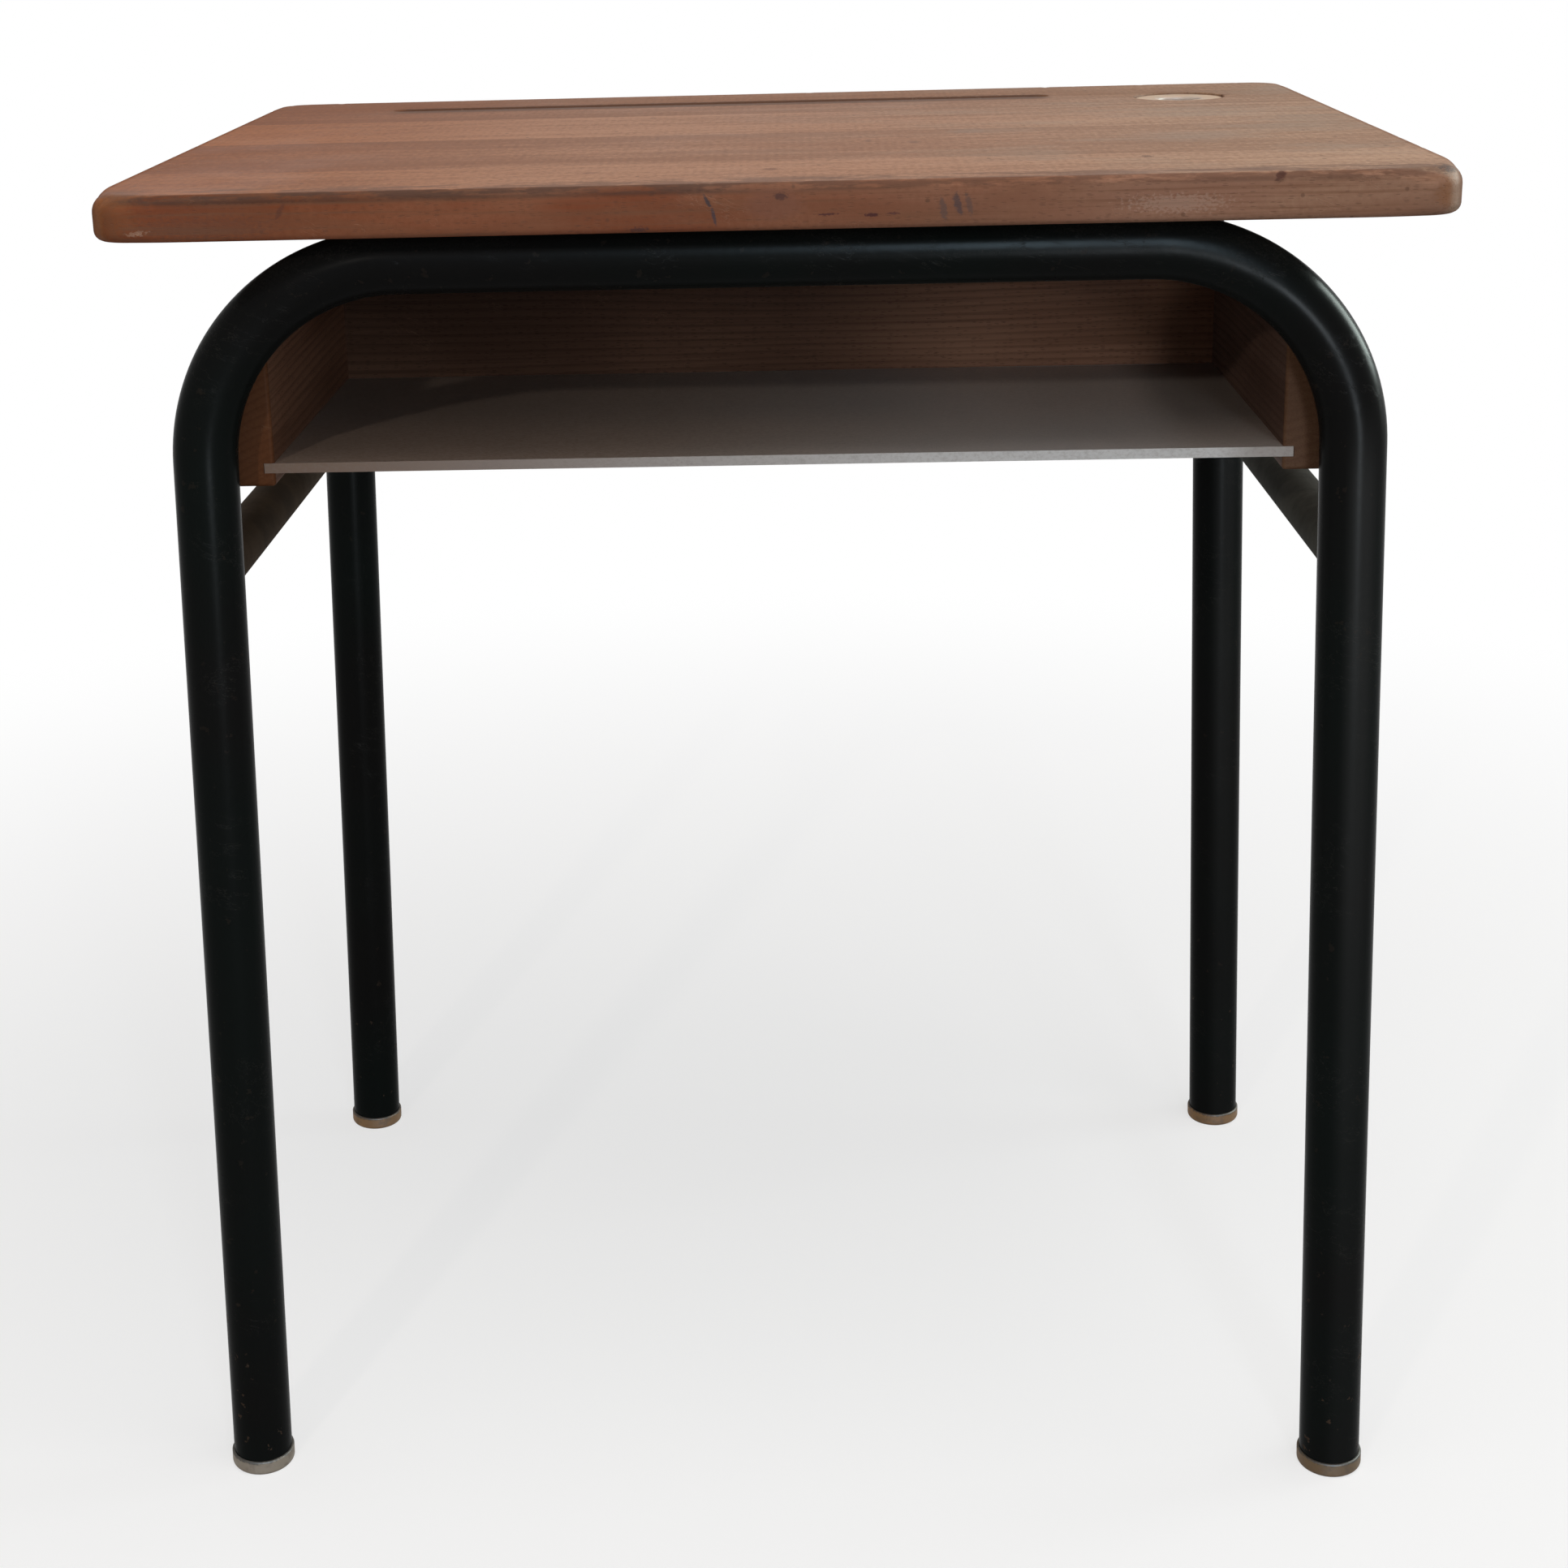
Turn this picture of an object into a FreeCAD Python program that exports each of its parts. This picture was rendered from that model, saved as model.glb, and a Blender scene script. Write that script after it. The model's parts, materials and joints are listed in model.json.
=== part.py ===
import FreeCAD
import Part
import math
import os

# School desk: beech top on two bent-tube leg frames, with a book compartment and an inkwell.
# Millimetres, +Z up, +Y away from the pupil, origin on the floor under the middle of the top.

# Desktop
desk_height = 775.0
top_length = 700.0
top_depth = 520.0
top_thickness = 24.0
top_corner_radius = 22.0
top_upper_edge_radius = 5.0
top_lower_edge_radius = 4.0

# Pencil groove, cut with a round-nosed cutter
groove_left_inset = 90.0
groove_right_inset = 165.0
groove_rear_inset = 69.0
groove_cutter_radius = 7.0
groove_depth = 6.0

# Inkwell and its stepped hole
inkwell_side_inset = 82.0
inkwell_rear_inset = 96.0
inkwell_recess = 1.2
flange_diameter = 57.0
flange_thickness = 3.0
flange_edge_radius = 1.0
flange_clearance = 1.0
cup_upper_diameter = 43.0
cup_lower_diameter = 36.0
cup_depth = 36.0
cup_foot_radius = 4.0
cup_wall = 3.5
cup_floor = 4.0
cup_clearance = 1.5
mouth_diameter = 28.0
mouth_depth = 4.5
mouth_funnel = 2.0

# Bent-tube leg frames
tube_diameter = 35.0
tube_wall = 1.5
bend_radius = 110.0
frame_side_inset = 43.0
leg_splay_degrees = 1.5
front_frame_inset = 41.0
rear_frame_inset = 51.0

# Side rails, coped to the legs and welded
rail_diameter = 28.0
rail_wall = 1.5
rail_drop = 188.0
weld_size = 2.5

# Glides plugged into the tube ends
glide_diameter = 37.5
glide_height = 9.0
glide_foot_radius = 3.0
glide_shoulder_radius = 1.0
glide_wear = 0.6
glide_stem_diameter = 27.0
glide_stem_length = 24.0
glide_bore_diameter = 20.0
glide_bore_depth = 26.0
glide_rib_count = 3
glide_rib_height = 2.0
glide_rib_pitch = 6.5

# Book compartment
side_panel_inset = 54.0
interior_depth = 235.0
interior_height = 130.0
side_panel_thickness = 22.0
side_panel_skirt = 7.5
side_panel_drop = 49.0
back_panel_thickness = 18.0
shelf_thickness = 5.5
dado_depth = 6.0
dado_clearance = 0.1
dado_end_gap = 0.4
panel_edge_radius = 2.0
panel_to_frame_gap = 1.0

# Fixing lugs welded to the frames
lug_spacing = 280.0
lug_width = 32.0
lug_thickness = 3.0
lug_root = 9.0
lug_reach = 35.0
lug_corner_radius = 8.0
lug_hole_clearance = 0.25
panel_lug_screw_inset = 20.0

# Lug screws
lug_screw_offset = 25.0
lug_screw_diameter = 5.0
lug_screw_length = 19.0
lug_screw_head_diameter = 10.0
lug_screw_head_height = 3.2

# Side screws, countersunk into the side panels
side_screw_count = 2
side_screw_end_inset = 18.0
side_screw_diameter = 4.5
side_screw_length = 50.0
side_screw_head_diameter = 9.0
side_screw_head_height = 2.8
side_screw_sink = 0.4

# Shared screw details
slot_width = 1.2
slot_depth = 1.3
screw_tip_length = 5.0
thread_clearance = 0.05

# Dowels between the back panel and the board
dowel_count = 4
dowel_end_inset = 62.0
dowel_diameter = 8.0
dowel_in_board = 13.0
dowel_in_panel = 17.0
dowel_chamfer = 1.0

# Pins that nail the shelf to the back panel
pin_count = 5
pin_end_inset = 40.0
pin_diameter = 1.8
pin_length = 24.0
pin_head_diameter = 4.5
pin_head_thickness = 1.0

# Gaps and overruns
hole_spare = 1.0
weld_gap = 0.05
edge_tolerance = 0.05
overrun = 5.0

# Places worked out from the sizes above
top_underside = desk_height - top_thickness
rear_edge = top_depth / 2
tube_radius = tube_diameter / 2
front_frame_y = -top_depth / 2 + front_frame_inset
rear_frame_y = top_depth / 2 - rear_frame_inset
splay = math.radians(leg_splay_degrees)
run_height = top_underside - tube_radius
spring_x = top_length / 2 - frame_side_inset
bend_centre_x = spring_x - bend_radius * math.cos(splay)
bend_centre_z = run_height - bend_radius
spring_z = bend_centre_z + bend_radius * math.sin(splay)
foot_x = spring_x + spring_z * math.tan(splay)
rail_height = top_underside - rail_drop
rail_x = spring_x + (spring_z - rail_height) * math.tan(splay)
groove_y = rear_edge - groove_rear_inset
groove_left_end = -top_length / 2 + groove_left_inset
groove_right_end = top_length / 2 - groove_right_inset
inkwell_x = top_length / 2 - inkwell_side_inset
inkwell_y = rear_edge - inkwell_rear_inset
seat_depth = inkwell_recess + flange_thickness
seat_z = desk_height - seat_depth
panel_front = front_frame_y + tube_radius + panel_to_frame_gap
back_panel_front = panel_front + interior_depth
panel_rear = back_panel_front + back_panel_thickness
shelf_top = top_underside - interior_height
shelf_underside = shelf_top - shelf_thickness
panel_underside = shelf_underside - side_panel_skirt
side_panel_top = top_underside - side_panel_drop
panel_outer_x = top_length / 2 - side_panel_inset
interior_width = 2 * (panel_outer_x - side_panel_thickness)
back_panel_middle = back_panel_front + back_panel_thickness / 2
sides = {"left": -1, "right": 1}
up = FreeCAD.Vector(0, 0, 1)


def point(x, y, z):
    return FreeCAD.Vector(x, y, z)


def block(low, high):
    """Box between two opposite corners."""
    size = high - low
    return Part.makeBox(size.x, size.y, size.z, low)


def rod(radius, start, end):
    """Solid round bar between two points."""
    run = end - start
    return Part.makeCylinder(radius, run.Length, start, run)


def rounded(shape, radius, wanted):
    """Rounds each edge for which wanted(edge) is true."""
    return shape.makeFillet(radius, [edge for edge in shape.Edges if wanted(edge)])


def all_at(edge, axis, value):
    """True if the whole edge lies at one value of x, y or z."""
    box = edge.BoundBox
    low = getattr(box, axis + "Min")
    high = getattr(box, axis + "Max")
    return abs(low - value) < edge_tolerance and abs(high - value) < edge_tolerance


def upright(edge):
    return edge.BoundBox.ZLength > edge.BoundBox.XLength + edge.BoundBox.YLength


def spread(low, high, count):
    """Evenly spaced values from low to high."""
    return [low + (high - low) * index / (count - 1) for index in range(count)]


def revolved(outline):
    """Turns a closed outline in the XZ plane about the Z axis."""
    face = Part.Face(Part.Wire(outline))
    return face.revolve(FreeCAD.Vector(), up, 360)


def line(a, b):
    return Part.LineSegment(a, b).toShape()


def quarter(start, end, centre):
    """Round edge from start to end about a centre, by the shorter way."""
    middle = (start + end) * (1 / 2) - centre
    middle.normalize()
    return Part.Arc(start, centre + middle * (start - centre).Length, end).toShape()


def on_leg(shape, side, frame_y):
    """Moves a piece made upright at the origin onto a leg's axis, with its origin on the floor."""
    shape.rotate(FreeCAD.Vector(), FreeCAD.Vector(0, 1, 0), -side * leg_splay_degrees)
    shape.translate(point(side * foot_x, frame_y, 0))
    return shape


def leg_core(side, frame_y, radius):
    """Solid bar along the straight part of a leg."""
    length = spring_z / math.cos(splay)
    return on_leg(Part.makeCylinder(radius, length), side, frame_y)


def frame_path(frame_y):
    """Centre line of an inverted-U frame, from the left foot to the right foot."""
    foot_rise = glide_height * math.cos(splay)
    end_x = foot_x - glide_height * math.sin(splay)
    half_turn = (splay + math.pi / 2) / 2
    middle_x = bend_centre_x + bend_radius * math.cos(half_turn)
    middle_z = bend_centre_z + bend_radius * math.sin(half_turn)
    left_foot = point(-end_x, frame_y, foot_rise)
    left_spring = point(-spring_x, frame_y, spring_z)
    left_middle = point(-middle_x, frame_y, middle_z)
    left_top = point(-bend_centre_x, frame_y, run_height)
    right_top = point(bend_centre_x, frame_y, run_height)
    right_middle = point(middle_x, frame_y, middle_z)
    right_spring = point(spring_x, frame_y, spring_z)
    right_foot = point(end_x, frame_y, foot_rise)
    return Part.Wire([
        line(left_foot, left_spring),
        Part.Arc(left_spring, left_middle, left_top).toShape(),
        line(left_top, right_top),
        Part.Arc(right_top, right_middle, right_spring).toShape(),
        line(right_spring, right_foot),
    ])


def swept(path, radius):
    """Solid round bar along a path."""
    start = path.Vertexes[0].Point
    along = path.Edges[0].tangentAt(path.Edges[0].FirstParameter)
    ring = Part.Wire([Part.makeCircle(radius, start, along)])
    return path.makePipeShell([ring], True, False)


def leg_frame(frame_y):
    path = frame_path(frame_y)
    return swept(path, tube_radius).cut(swept(path, tube_radius - tube_wall))


def side_rail(side):
    """Tube between the legs of one side, its ends coped to their round backs."""
    start = point(side * rail_x, front_frame_y, rail_height)
    end = point(side * rail_x, rear_frame_y, rail_height)
    tube = rod(rail_diameter / 2, start, end).cut(rod(rail_diameter / 2 - rail_wall, start, end))
    for frame_y in (front_frame_y, rear_frame_y):
        tube = tube.cut(leg_core(side, frame_y, tube_radius + weld_gap))
    return tube


def rail_welds():
    """Weld beads that follow the saddle where each rail meets a leg."""
    beads = []
    rail_outside = rail_diameter / 2 + weld_gap
    leg_outside = tube_radius + weld_gap
    for side in sides.values():
        start = point(side * rail_x, front_frame_y, rail_height)
        end = point(side * rail_x, rear_frame_y, rail_height)
        sleeve = rod(rail_outside + weld_size, start, end).cut(rod(rail_outside, start, end))
        for frame_y in (front_frame_y, rear_frame_y):
            skin = leg_core(side, frame_y, leg_outside + weld_size)
            beads.append(sleeve.common(skin).cut(leg_core(side, frame_y, leg_outside)))
    return Part.makeCompound(beads)


def glide_outline():
    """Half section of a glide: foot, ribbed stem and blind bore."""
    outer = glide_diameter / 2
    stem = glide_stem_diameter / 2
    bore = glide_bore_diameter / 2
    rib = tube_radius - tube_wall - thread_clearance
    base = -glide_wear
    stem_top = glide_height + glide_stem_length
    foot_start = point(outer - glide_foot_radius, 0, base)
    foot_end = point(outer, 0, base + glide_foot_radius)
    shoulder_start = point(outer, 0, glide_height - glide_shoulder_radius)
    shoulder_end = point(outer - glide_shoulder_radius, 0, glide_height)
    points = [shoulder_end, point(stem, 0, glide_height)]
    for index in range(glide_rib_count):
        low = glide_height + (index + 1) * glide_rib_pitch - glide_rib_height
        points.append(point(stem, 0, low))
        points.append(point(rib, 0, low + glide_rib_height / 2))
        points.append(point(stem, 0, low + glide_rib_height))
    points.append(point(stem, 0, stem_top))
    points.append(point(bore, 0, stem_top))
    points.append(point(bore, 0, stem_top - glide_bore_depth))
    points.append(point(0, 0, stem_top - glide_bore_depth))
    points.append(point(0, 0, base))
    points.append(foot_start)
    edges = [line(a, b) for a, b in zip(points, points[1:])]
    edges.append(quarter(foot_start, foot_end, foot_start + up * glide_foot_radius))
    edges.append(line(foot_end, shoulder_start))
    edges.append(quarter(shoulder_start, shoulder_end, shoulder_end - up * glide_shoulder_radius))
    return edges


def glide(side, frame_y):
    """Glide on a splayed leg, worn level where it meets the floor."""
    shape = on_leg(revolved(glide_outline()), side, frame_y)
    reach = glide_diameter
    centre = point(side * foot_x, frame_y, 0)
    below = block(centre + point(-reach, -reach, -reach), centre + point(reach, reach, 0))
    return shape.cut(below)


def lug_places(frame_y):
    return [point(side * lug_spacing / 2, frame_y, top_underside) for side in sides.values()]


def fixing_lugs(frame_y):
    """Plates welded behind the tube's top run, flat against the underside of the board."""
    run_start = point(-lug_spacing, frame_y, run_height)
    run_end = point(lug_spacing, frame_y, run_height)
    run = rod(tube_radius + weld_gap, run_start, run_end)
    plates = []
    for place in lug_places(frame_y):
        low = place + point(-lug_width / 2, lug_root, -lug_thickness)
        high = place + point(lug_width / 2, lug_reach, 0)
        plate = block(low, high)
        plate = rounded(plate, lug_corner_radius, lambda e: upright(e) and all_at(e, "Y", high.y))
        hole_top = place + point(0, lug_screw_offset, overrun)
        hole_low = place + point(0, lug_screw_offset, -lug_thickness - overrun)
        hole = rod(lug_screw_diameter / 2 + lug_hole_clearance, hole_low, hole_top)
        plates.append(plate.cut(run).cut(hole))
    return Part.makeCompound(plates)


def panel_lug_place(side):
    """Screw centre on the outer face of a side panel, close behind the front leg."""
    middle = (shelf_top + side_panel_top) / 2
    return point(side * panel_outer_x, panel_front + panel_lug_screw_inset, middle)


def panel_lugs():
    """Plates welded behind the front legs, flat against the outer faces of the side panels."""
    tube = swept(frame_path(front_frame_y), tube_radius + weld_gap)
    free_end = panel_front + panel_lug_screw_inset + lug_reach - lug_screw_offset
    plates = []
    for side in sides.values():
        place = panel_lug_place(side)
        faces = (place.x, place.x + side * lug_thickness)
        low = point(min(faces), front_frame_y, place.z - lug_width / 2)
        high = point(max(faces), free_end, place.z + lug_width / 2)
        plate = rounded(block(low, high), lug_corner_radius,
                        lambda e: all_at(e, "Y", free_end) and not upright(e))
        across = point(side * (lug_thickness + overrun), 0, 0)
        hole = rod(lug_screw_diameter / 2 + lug_hole_clearance, place - across, place + across)
        plates.append(plate.cut(tube).cut(hole))
    return Part.makeCompound(plates)


def slotted(shape, head_diameter, head_face):
    """Cuts the driver slot across a head whose outer face is at head_face."""
    half = head_diameter
    low = point(-half, -slot_width / 2, head_face)
    high = point(half, slot_width / 2, head_face + slot_depth)
    return shape.cut(block(low - up * overrun, high))


def screw_shank(diameter, start, length):
    """Shank along +Z from start to length, ending in a point."""
    body = Part.makeCylinder(diameter / 2, length - start - screw_tip_length, point(0, 0, start))
    tip = Part.makeCone(diameter / 2, 0, screw_tip_length, point(0, 0, length - screw_tip_length))
    return body.fuse(tip)


def lug_screw():
    """Pan-head wood screw pointing up, with the underside of its head at the origin."""
    head = Part.makeCylinder(lug_screw_head_diameter / 2, lug_screw_head_height,
                             point(0, 0, -lug_screw_head_height))
    head = rounded(head, lug_screw_head_height / 2, lambda e: all_at(e, "Z", -lug_screw_head_height))
    screw = head.fuse(screw_shank(lug_screw_diameter, 0, lug_screw_length)).removeSplitter()
    return slotted(screw, lug_screw_head_diameter, -lug_screw_head_height)


def lug_screws():
    screws = []
    for frame_y in (front_frame_y, rear_frame_y):
        for place in lug_places(frame_y):
            screw = lug_screw()
            screw.translate(place + point(0, lug_screw_offset, -lug_thickness))
            screws.append(screw)
    for side in sides.values():
        lug_face = panel_lug_place(side) + point(side * lug_thickness, 0, 0)
        screws.append(driven_in(lug_screw(), side, lug_face))
    return Part.makeCompound(screws)


def lug_screw_hole():
    """Pilot hole for a lug screw, pointing up, with the face of the wood at the origin."""
    depth = lug_screw_length - lug_thickness + hole_spare
    return rod(lug_screw_diameter / 2 + thread_clearance, point(0, 0, -overrun), point(0, 0, depth))


def board_screw_holes():
    holes = []
    for frame_y in (front_frame_y, rear_frame_y):
        for place in lug_places(frame_y):
            hole = lug_screw_hole()
            hole.translate(place + point(0, lug_screw_offset, 0))
            holes.append(hole)
    return holes


def side_screw_places(side):
    """Centres of the screw heads on the outer face of a side panel."""
    low = shelf_top + side_screw_end_inset
    high = side_panel_top - side_screw_end_inset
    heights = spread(low, high, side_screw_count)
    return [point(side * panel_outer_x, back_panel_middle, height) for height in heights]


def side_screw():
    """Countersunk wood screw pointing up, with the outer face of its head at the origin."""
    head = Part.makeCone(side_screw_head_diameter / 2, side_screw_diameter / 2, side_screw_head_height)
    shank = screw_shank(side_screw_diameter, side_screw_head_height, side_screw_length)
    return slotted(head.fuse(shank).removeSplitter(), side_screw_head_diameter, 0)


def side_screw_hole():
    """Countersunk pilot hole for a side screw, with the panel's outer face at the origin."""
    radius = side_screw_diameter / 2 + thread_clearance
    mouth = side_screw_head_diameter / 2 + thread_clearance
    sink = Part.makeCylinder(mouth, side_screw_sink + overrun, point(0, 0, -overrun))
    cone = Part.makeCone(mouth, radius, side_screw_head_height, point(0, 0, side_screw_sink))
    pilot = Part.makeCylinder(radius, side_screw_sink + side_screw_length)
    return sink.fuse(cone).fuse(pilot)


def driven_in(shape, side, place):
    """Turns a piece that points up so that it points into the desk from one side."""
    shape.rotate(FreeCAD.Vector(), FreeCAD.Vector(0, 1, 0), -side * 90)
    shape.translate(place)
    return shape


def side_screws():
    screws = []
    for side in sides.values():
        for place in side_screw_places(side):
            screws.append(driven_in(side_screw(), side, place - point(side * side_screw_sink, 0, 0)))
    return Part.makeCompound(screws)


def side_screw_holes(side):
    return [driven_in(side_screw_hole(), side, place) for place in side_screw_places(side)]


def dowel_places():
    """Dowel centres at the underside of the board, over the middle of the back panel."""
    end = interior_width / 2 - dowel_end_inset
    return [point(x, back_panel_middle, top_underside) for x in spread(-end, end, dowel_count)]


def panel_dowels():
    dowels = []
    for place in dowel_places():
        dowel = rod(dowel_diameter / 2, place - up * dowel_in_panel, place + up * dowel_in_board)
        dowels.append(dowel.makeChamfer(dowel_chamfer, [e for e in dowel.Edges if e.Closed]))
    return Part.makeCompound(dowels)


def dowel_holes():
    radius = dowel_diameter / 2 + thread_clearance
    low = up * (dowel_in_panel + hole_spare)
    high = up * (dowel_in_board + hole_spare)
    return [rod(radius, place - low, place + high) for place in dowel_places()]


def pin_places():
    """Pin centres at the underside of the shelf, under the middle of the back panel."""
    end = interior_width / 2 - pin_end_inset
    return [point(x, back_panel_middle, shelf_underside) for x in spread(-end, end, pin_count)]


def shelf_pins():
    pins = []
    for place in pin_places():
        head = rod(pin_head_diameter / 2, place - up * pin_head_thickness, place)
        shank = rod(pin_diameter / 2, place, place + up * pin_length)
        pins.append(head.fuse(shank).removeSplitter())
    return Part.makeCompound(pins)


def pin_holes():
    radius = pin_diameter / 2 + thread_clearance
    reach = up * (pin_length + hole_spare)
    return [rod(radius, place - up * overrun, place + reach) for place in pin_places()]


def desktop():
    """Beech board with rounded corners and edges, pencil groove and stepped inkwell hole."""
    low = point(-top_length / 2, -top_depth / 2, top_underside)
    high = point(top_length / 2, top_depth / 2, desk_height)
    board = rounded(block(low, high), top_corner_radius, upright)
    board = rounded(board, top_upper_edge_radius, lambda e: all_at(e, "Z", desk_height))
    board = rounded(board, top_lower_edge_radius, lambda e: all_at(e, "Z", top_underside))
    return board.cut([pencil_groove(), inkwell_hole()] + board_screw_holes() + dowel_holes())


def pencil_groove():
    """Path of a ball-nosed cutter: a bar with a ball at each end."""
    axis_z = desk_height - groove_depth + groove_cutter_radius
    left = point(groove_left_end + groove_cutter_radius, groove_y, axis_z)
    right = point(groove_right_end - groove_cutter_radius, groove_y, axis_z)
    ends = [Part.makeSphere(groove_cutter_radius, end) for end in (left, right)]
    return rod(groove_cutter_radius, left, right).fuse(ends)


def inkwell_hole():
    """Through hole for the cup, with a wider seat for its flange."""
    seat = point(inkwell_x, inkwell_y, seat_z)
    wide = rod(flange_diameter / 2 + flange_clearance, seat, seat + up * (seat_depth + overrun))
    below = point(inkwell_x, inkwell_y, top_underside - overrun)
    return wide.fuse(rod(cup_upper_diameter / 2 + cup_clearance, below, seat + up * overrun))


def inkwell():
    """Glazed cup, hollow inside, hung by a flange whose top dips to a round mouth."""
    outer = flange_diameter / 2
    upper = cup_upper_diameter / 2
    lower = cup_lower_diameter / 2
    mouth = mouth_diameter / 2
    inner_top = upper - cup_wall
    inner_low = lower - cup_wall
    bottom = -cup_depth
    rim_start = point(outer, 0, flange_thickness - flange_edge_radius)
    rim_end = point(outer - flange_edge_radius, 0, flange_thickness)
    funnel_start = point(mouth + mouth_funnel, 0, flange_thickness)
    funnel_end = point(mouth, 0, flange_thickness - mouth_funnel)
    foot_start = point(lower - cup_foot_radius, 0, bottom)
    foot_end = point(lower, 0, bottom + cup_foot_radius)
    edges = [
        line(foot_end, point(upper, 0, 0)),
        line(point(upper, 0, 0), point(outer, 0, 0)),
        line(point(outer, 0, 0), rim_start),
        quarter(rim_start, rim_end, rim_end - up * flange_edge_radius),
        line(rim_end, funnel_start),
        quarter(funnel_start, funnel_end, funnel_start - up * mouth_funnel),
        line(funnel_end, point(mouth, 0, flange_thickness - mouth_depth)),
        line(point(mouth, 0, flange_thickness - mouth_depth),
             point(inner_top, 0, flange_thickness - mouth_depth - mouth_funnel)),
        line(point(inner_top, 0, flange_thickness - mouth_depth - mouth_funnel),
             point(inner_low, 0, bottom + cup_floor)),
        line(point(inner_low, 0, bottom + cup_floor), point(0, 0, bottom + cup_floor)),
        line(point(0, 0, bottom + cup_floor), point(0, 0, bottom)),
        line(point(0, 0, bottom), foot_start),
        quarter(foot_start, foot_end, foot_start + up * cup_foot_radius),
    ]
    cup = revolved(edges)
    cup.translate(point(inkwell_x, inkwell_y, seat_z))
    return cup


def side_panel(side):
    """Side of the compartment, clear of the board and grooved for the shelf from front to rear."""
    inner = side * interior_width / 2
    outer = side * panel_outer_x
    low = point(min(inner, outer), panel_front, panel_underside)
    high = point(max(inner, outer), panel_rear, side_panel_top)
    panel = rounded(block(low, high), panel_edge_radius, lambda e: True)
    groove_bottom = side * (interior_width / 2 + dado_depth)
    groove_open = inner - side * overrun
    groove = block(
        point(min(groove_bottom, groove_open), panel_front - overrun, shelf_underside - dado_clearance),
        point(max(groove_bottom, groove_open), panel_rear + overrun, shelf_top + dado_clearance))
    lug_hole = driven_in(lug_screw_hole(), side, panel_lug_place(side))
    return panel.cut([groove, lug_hole] + side_screw_holes(side))


def back_panel():
    """Back of the compartment, from the shelf up to the board, between the side panels."""
    low = point(-interior_width / 2, back_panel_front, shelf_top)
    high = point(interior_width / 2, panel_rear, top_underside)
    holes = side_screw_holes(-1) + side_screw_holes(1)
    return block(low, high).cut(holes + dowel_holes() + pin_holes())


def shelf():
    """Thin sheet slid into the side panels' grooves and nailed under the back panel."""
    half = interior_width / 2 + dado_depth - dado_end_gap
    sheet = block(point(-half, panel_front, shelf_underside), point(half, panel_rear, shelf_top))
    return sheet.cut(pin_holes())


def nodes():
    """Every piece by name."""
    pieces = {
        "desktop": desktop(),
        "front_leg_frame": leg_frame(front_frame_y),
        "rear_leg_frame": leg_frame(rear_frame_y),
        "front_fixing_lugs": fixing_lugs(front_frame_y),
        "rear_fixing_lugs": fixing_lugs(rear_frame_y),
        "panel_lugs": panel_lugs(),
        "lug_screws": lug_screws(),
        "rail_weld_beads": rail_welds(),
        "back_panel": back_panel(),
        "shelf": shelf(),
        "side_screws": side_screws(),
        "panel_dowels": panel_dowels(),
        "shelf_pins": shelf_pins(),
        "inkwell": inkwell(),
    }
    for name, side in sides.items():
        pieces[name + "_side_rail"] = side_rail(side)
        pieces[name + "_side_panel"] = side_panel(side)
        pieces["front_" + name + "_glide"] = glide(side, front_frame_y)
        pieces["rear_" + name + "_glide"] = glide(side, rear_frame_y)
    return pieces


os.makedirs("parts", exist_ok=True)
for node_name, shape in nodes().items():
    shape.exportStep("parts/" + node_name + ".step")
    print(node_name, len(shape.Solids), "solids, valid", shape.isValid(), round(shape.Volume))
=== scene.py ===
import bpy
import bmesh
import json
import math
import random
import numpy as np
from mathutils import Matrix, Vector, geometry, noise


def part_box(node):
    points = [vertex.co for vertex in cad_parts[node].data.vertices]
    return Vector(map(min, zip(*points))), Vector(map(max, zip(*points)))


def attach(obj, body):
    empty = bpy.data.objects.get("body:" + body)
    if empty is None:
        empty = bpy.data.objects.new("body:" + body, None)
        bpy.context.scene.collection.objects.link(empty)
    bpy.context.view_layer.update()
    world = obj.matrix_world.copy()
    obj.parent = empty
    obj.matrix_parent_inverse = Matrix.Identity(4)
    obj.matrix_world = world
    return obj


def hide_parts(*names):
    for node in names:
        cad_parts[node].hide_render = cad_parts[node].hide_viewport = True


# School desk: beech board with pencil groove and inkwell, open book shelf, bent-tube frames.
# Metres, +Z up, the pupil sits on the -Y side.

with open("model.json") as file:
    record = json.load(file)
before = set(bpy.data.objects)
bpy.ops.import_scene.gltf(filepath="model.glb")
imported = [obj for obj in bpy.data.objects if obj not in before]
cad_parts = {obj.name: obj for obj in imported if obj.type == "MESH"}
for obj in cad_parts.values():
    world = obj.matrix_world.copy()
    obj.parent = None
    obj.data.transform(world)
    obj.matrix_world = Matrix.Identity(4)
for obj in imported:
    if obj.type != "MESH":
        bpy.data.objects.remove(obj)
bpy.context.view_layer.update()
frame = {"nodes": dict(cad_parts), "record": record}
deskNodes = frame["nodes"]
print("Frame loaded,", len(deskNodes), "nodes")


# Helpers for shader and geometry trees

def feed(socket, value):
    if isinstance(value, bpy.types.NodeSocket):
        socket.id_data.links.new(value, socket)
    else:
        socket.default_value = value


def treeOf(values):
    # a socket knows the tree it belongs to
    return next(value.id_data for value in values if isinstance(value, bpy.types.NodeSocket))


def addNode(tree, kind, inputs=None, **settings):
    node = tree.nodes.new(kind)
    for name, value in settings.items():
        setattr(node, name, value)
    for name, value in (inputs or {}).items():
        feed(node.inputs[name], value)
    return node


def calc(operation, *values):
    node = addNode(treeOf(values), "ShaderNodeMath", operation=operation)
    for socket, value in zip(node.inputs, values):
        feed(socket, value)
    return node.outputs[0]


def times(first, second):
    return calc("MULTIPLY", first, second)


def timesPlus(value, factor, added):
    return calc("MULTIPLY_ADD", value, factor, added)


def minus(first, second):
    return calc("SUBTRACT", first, second)


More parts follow.
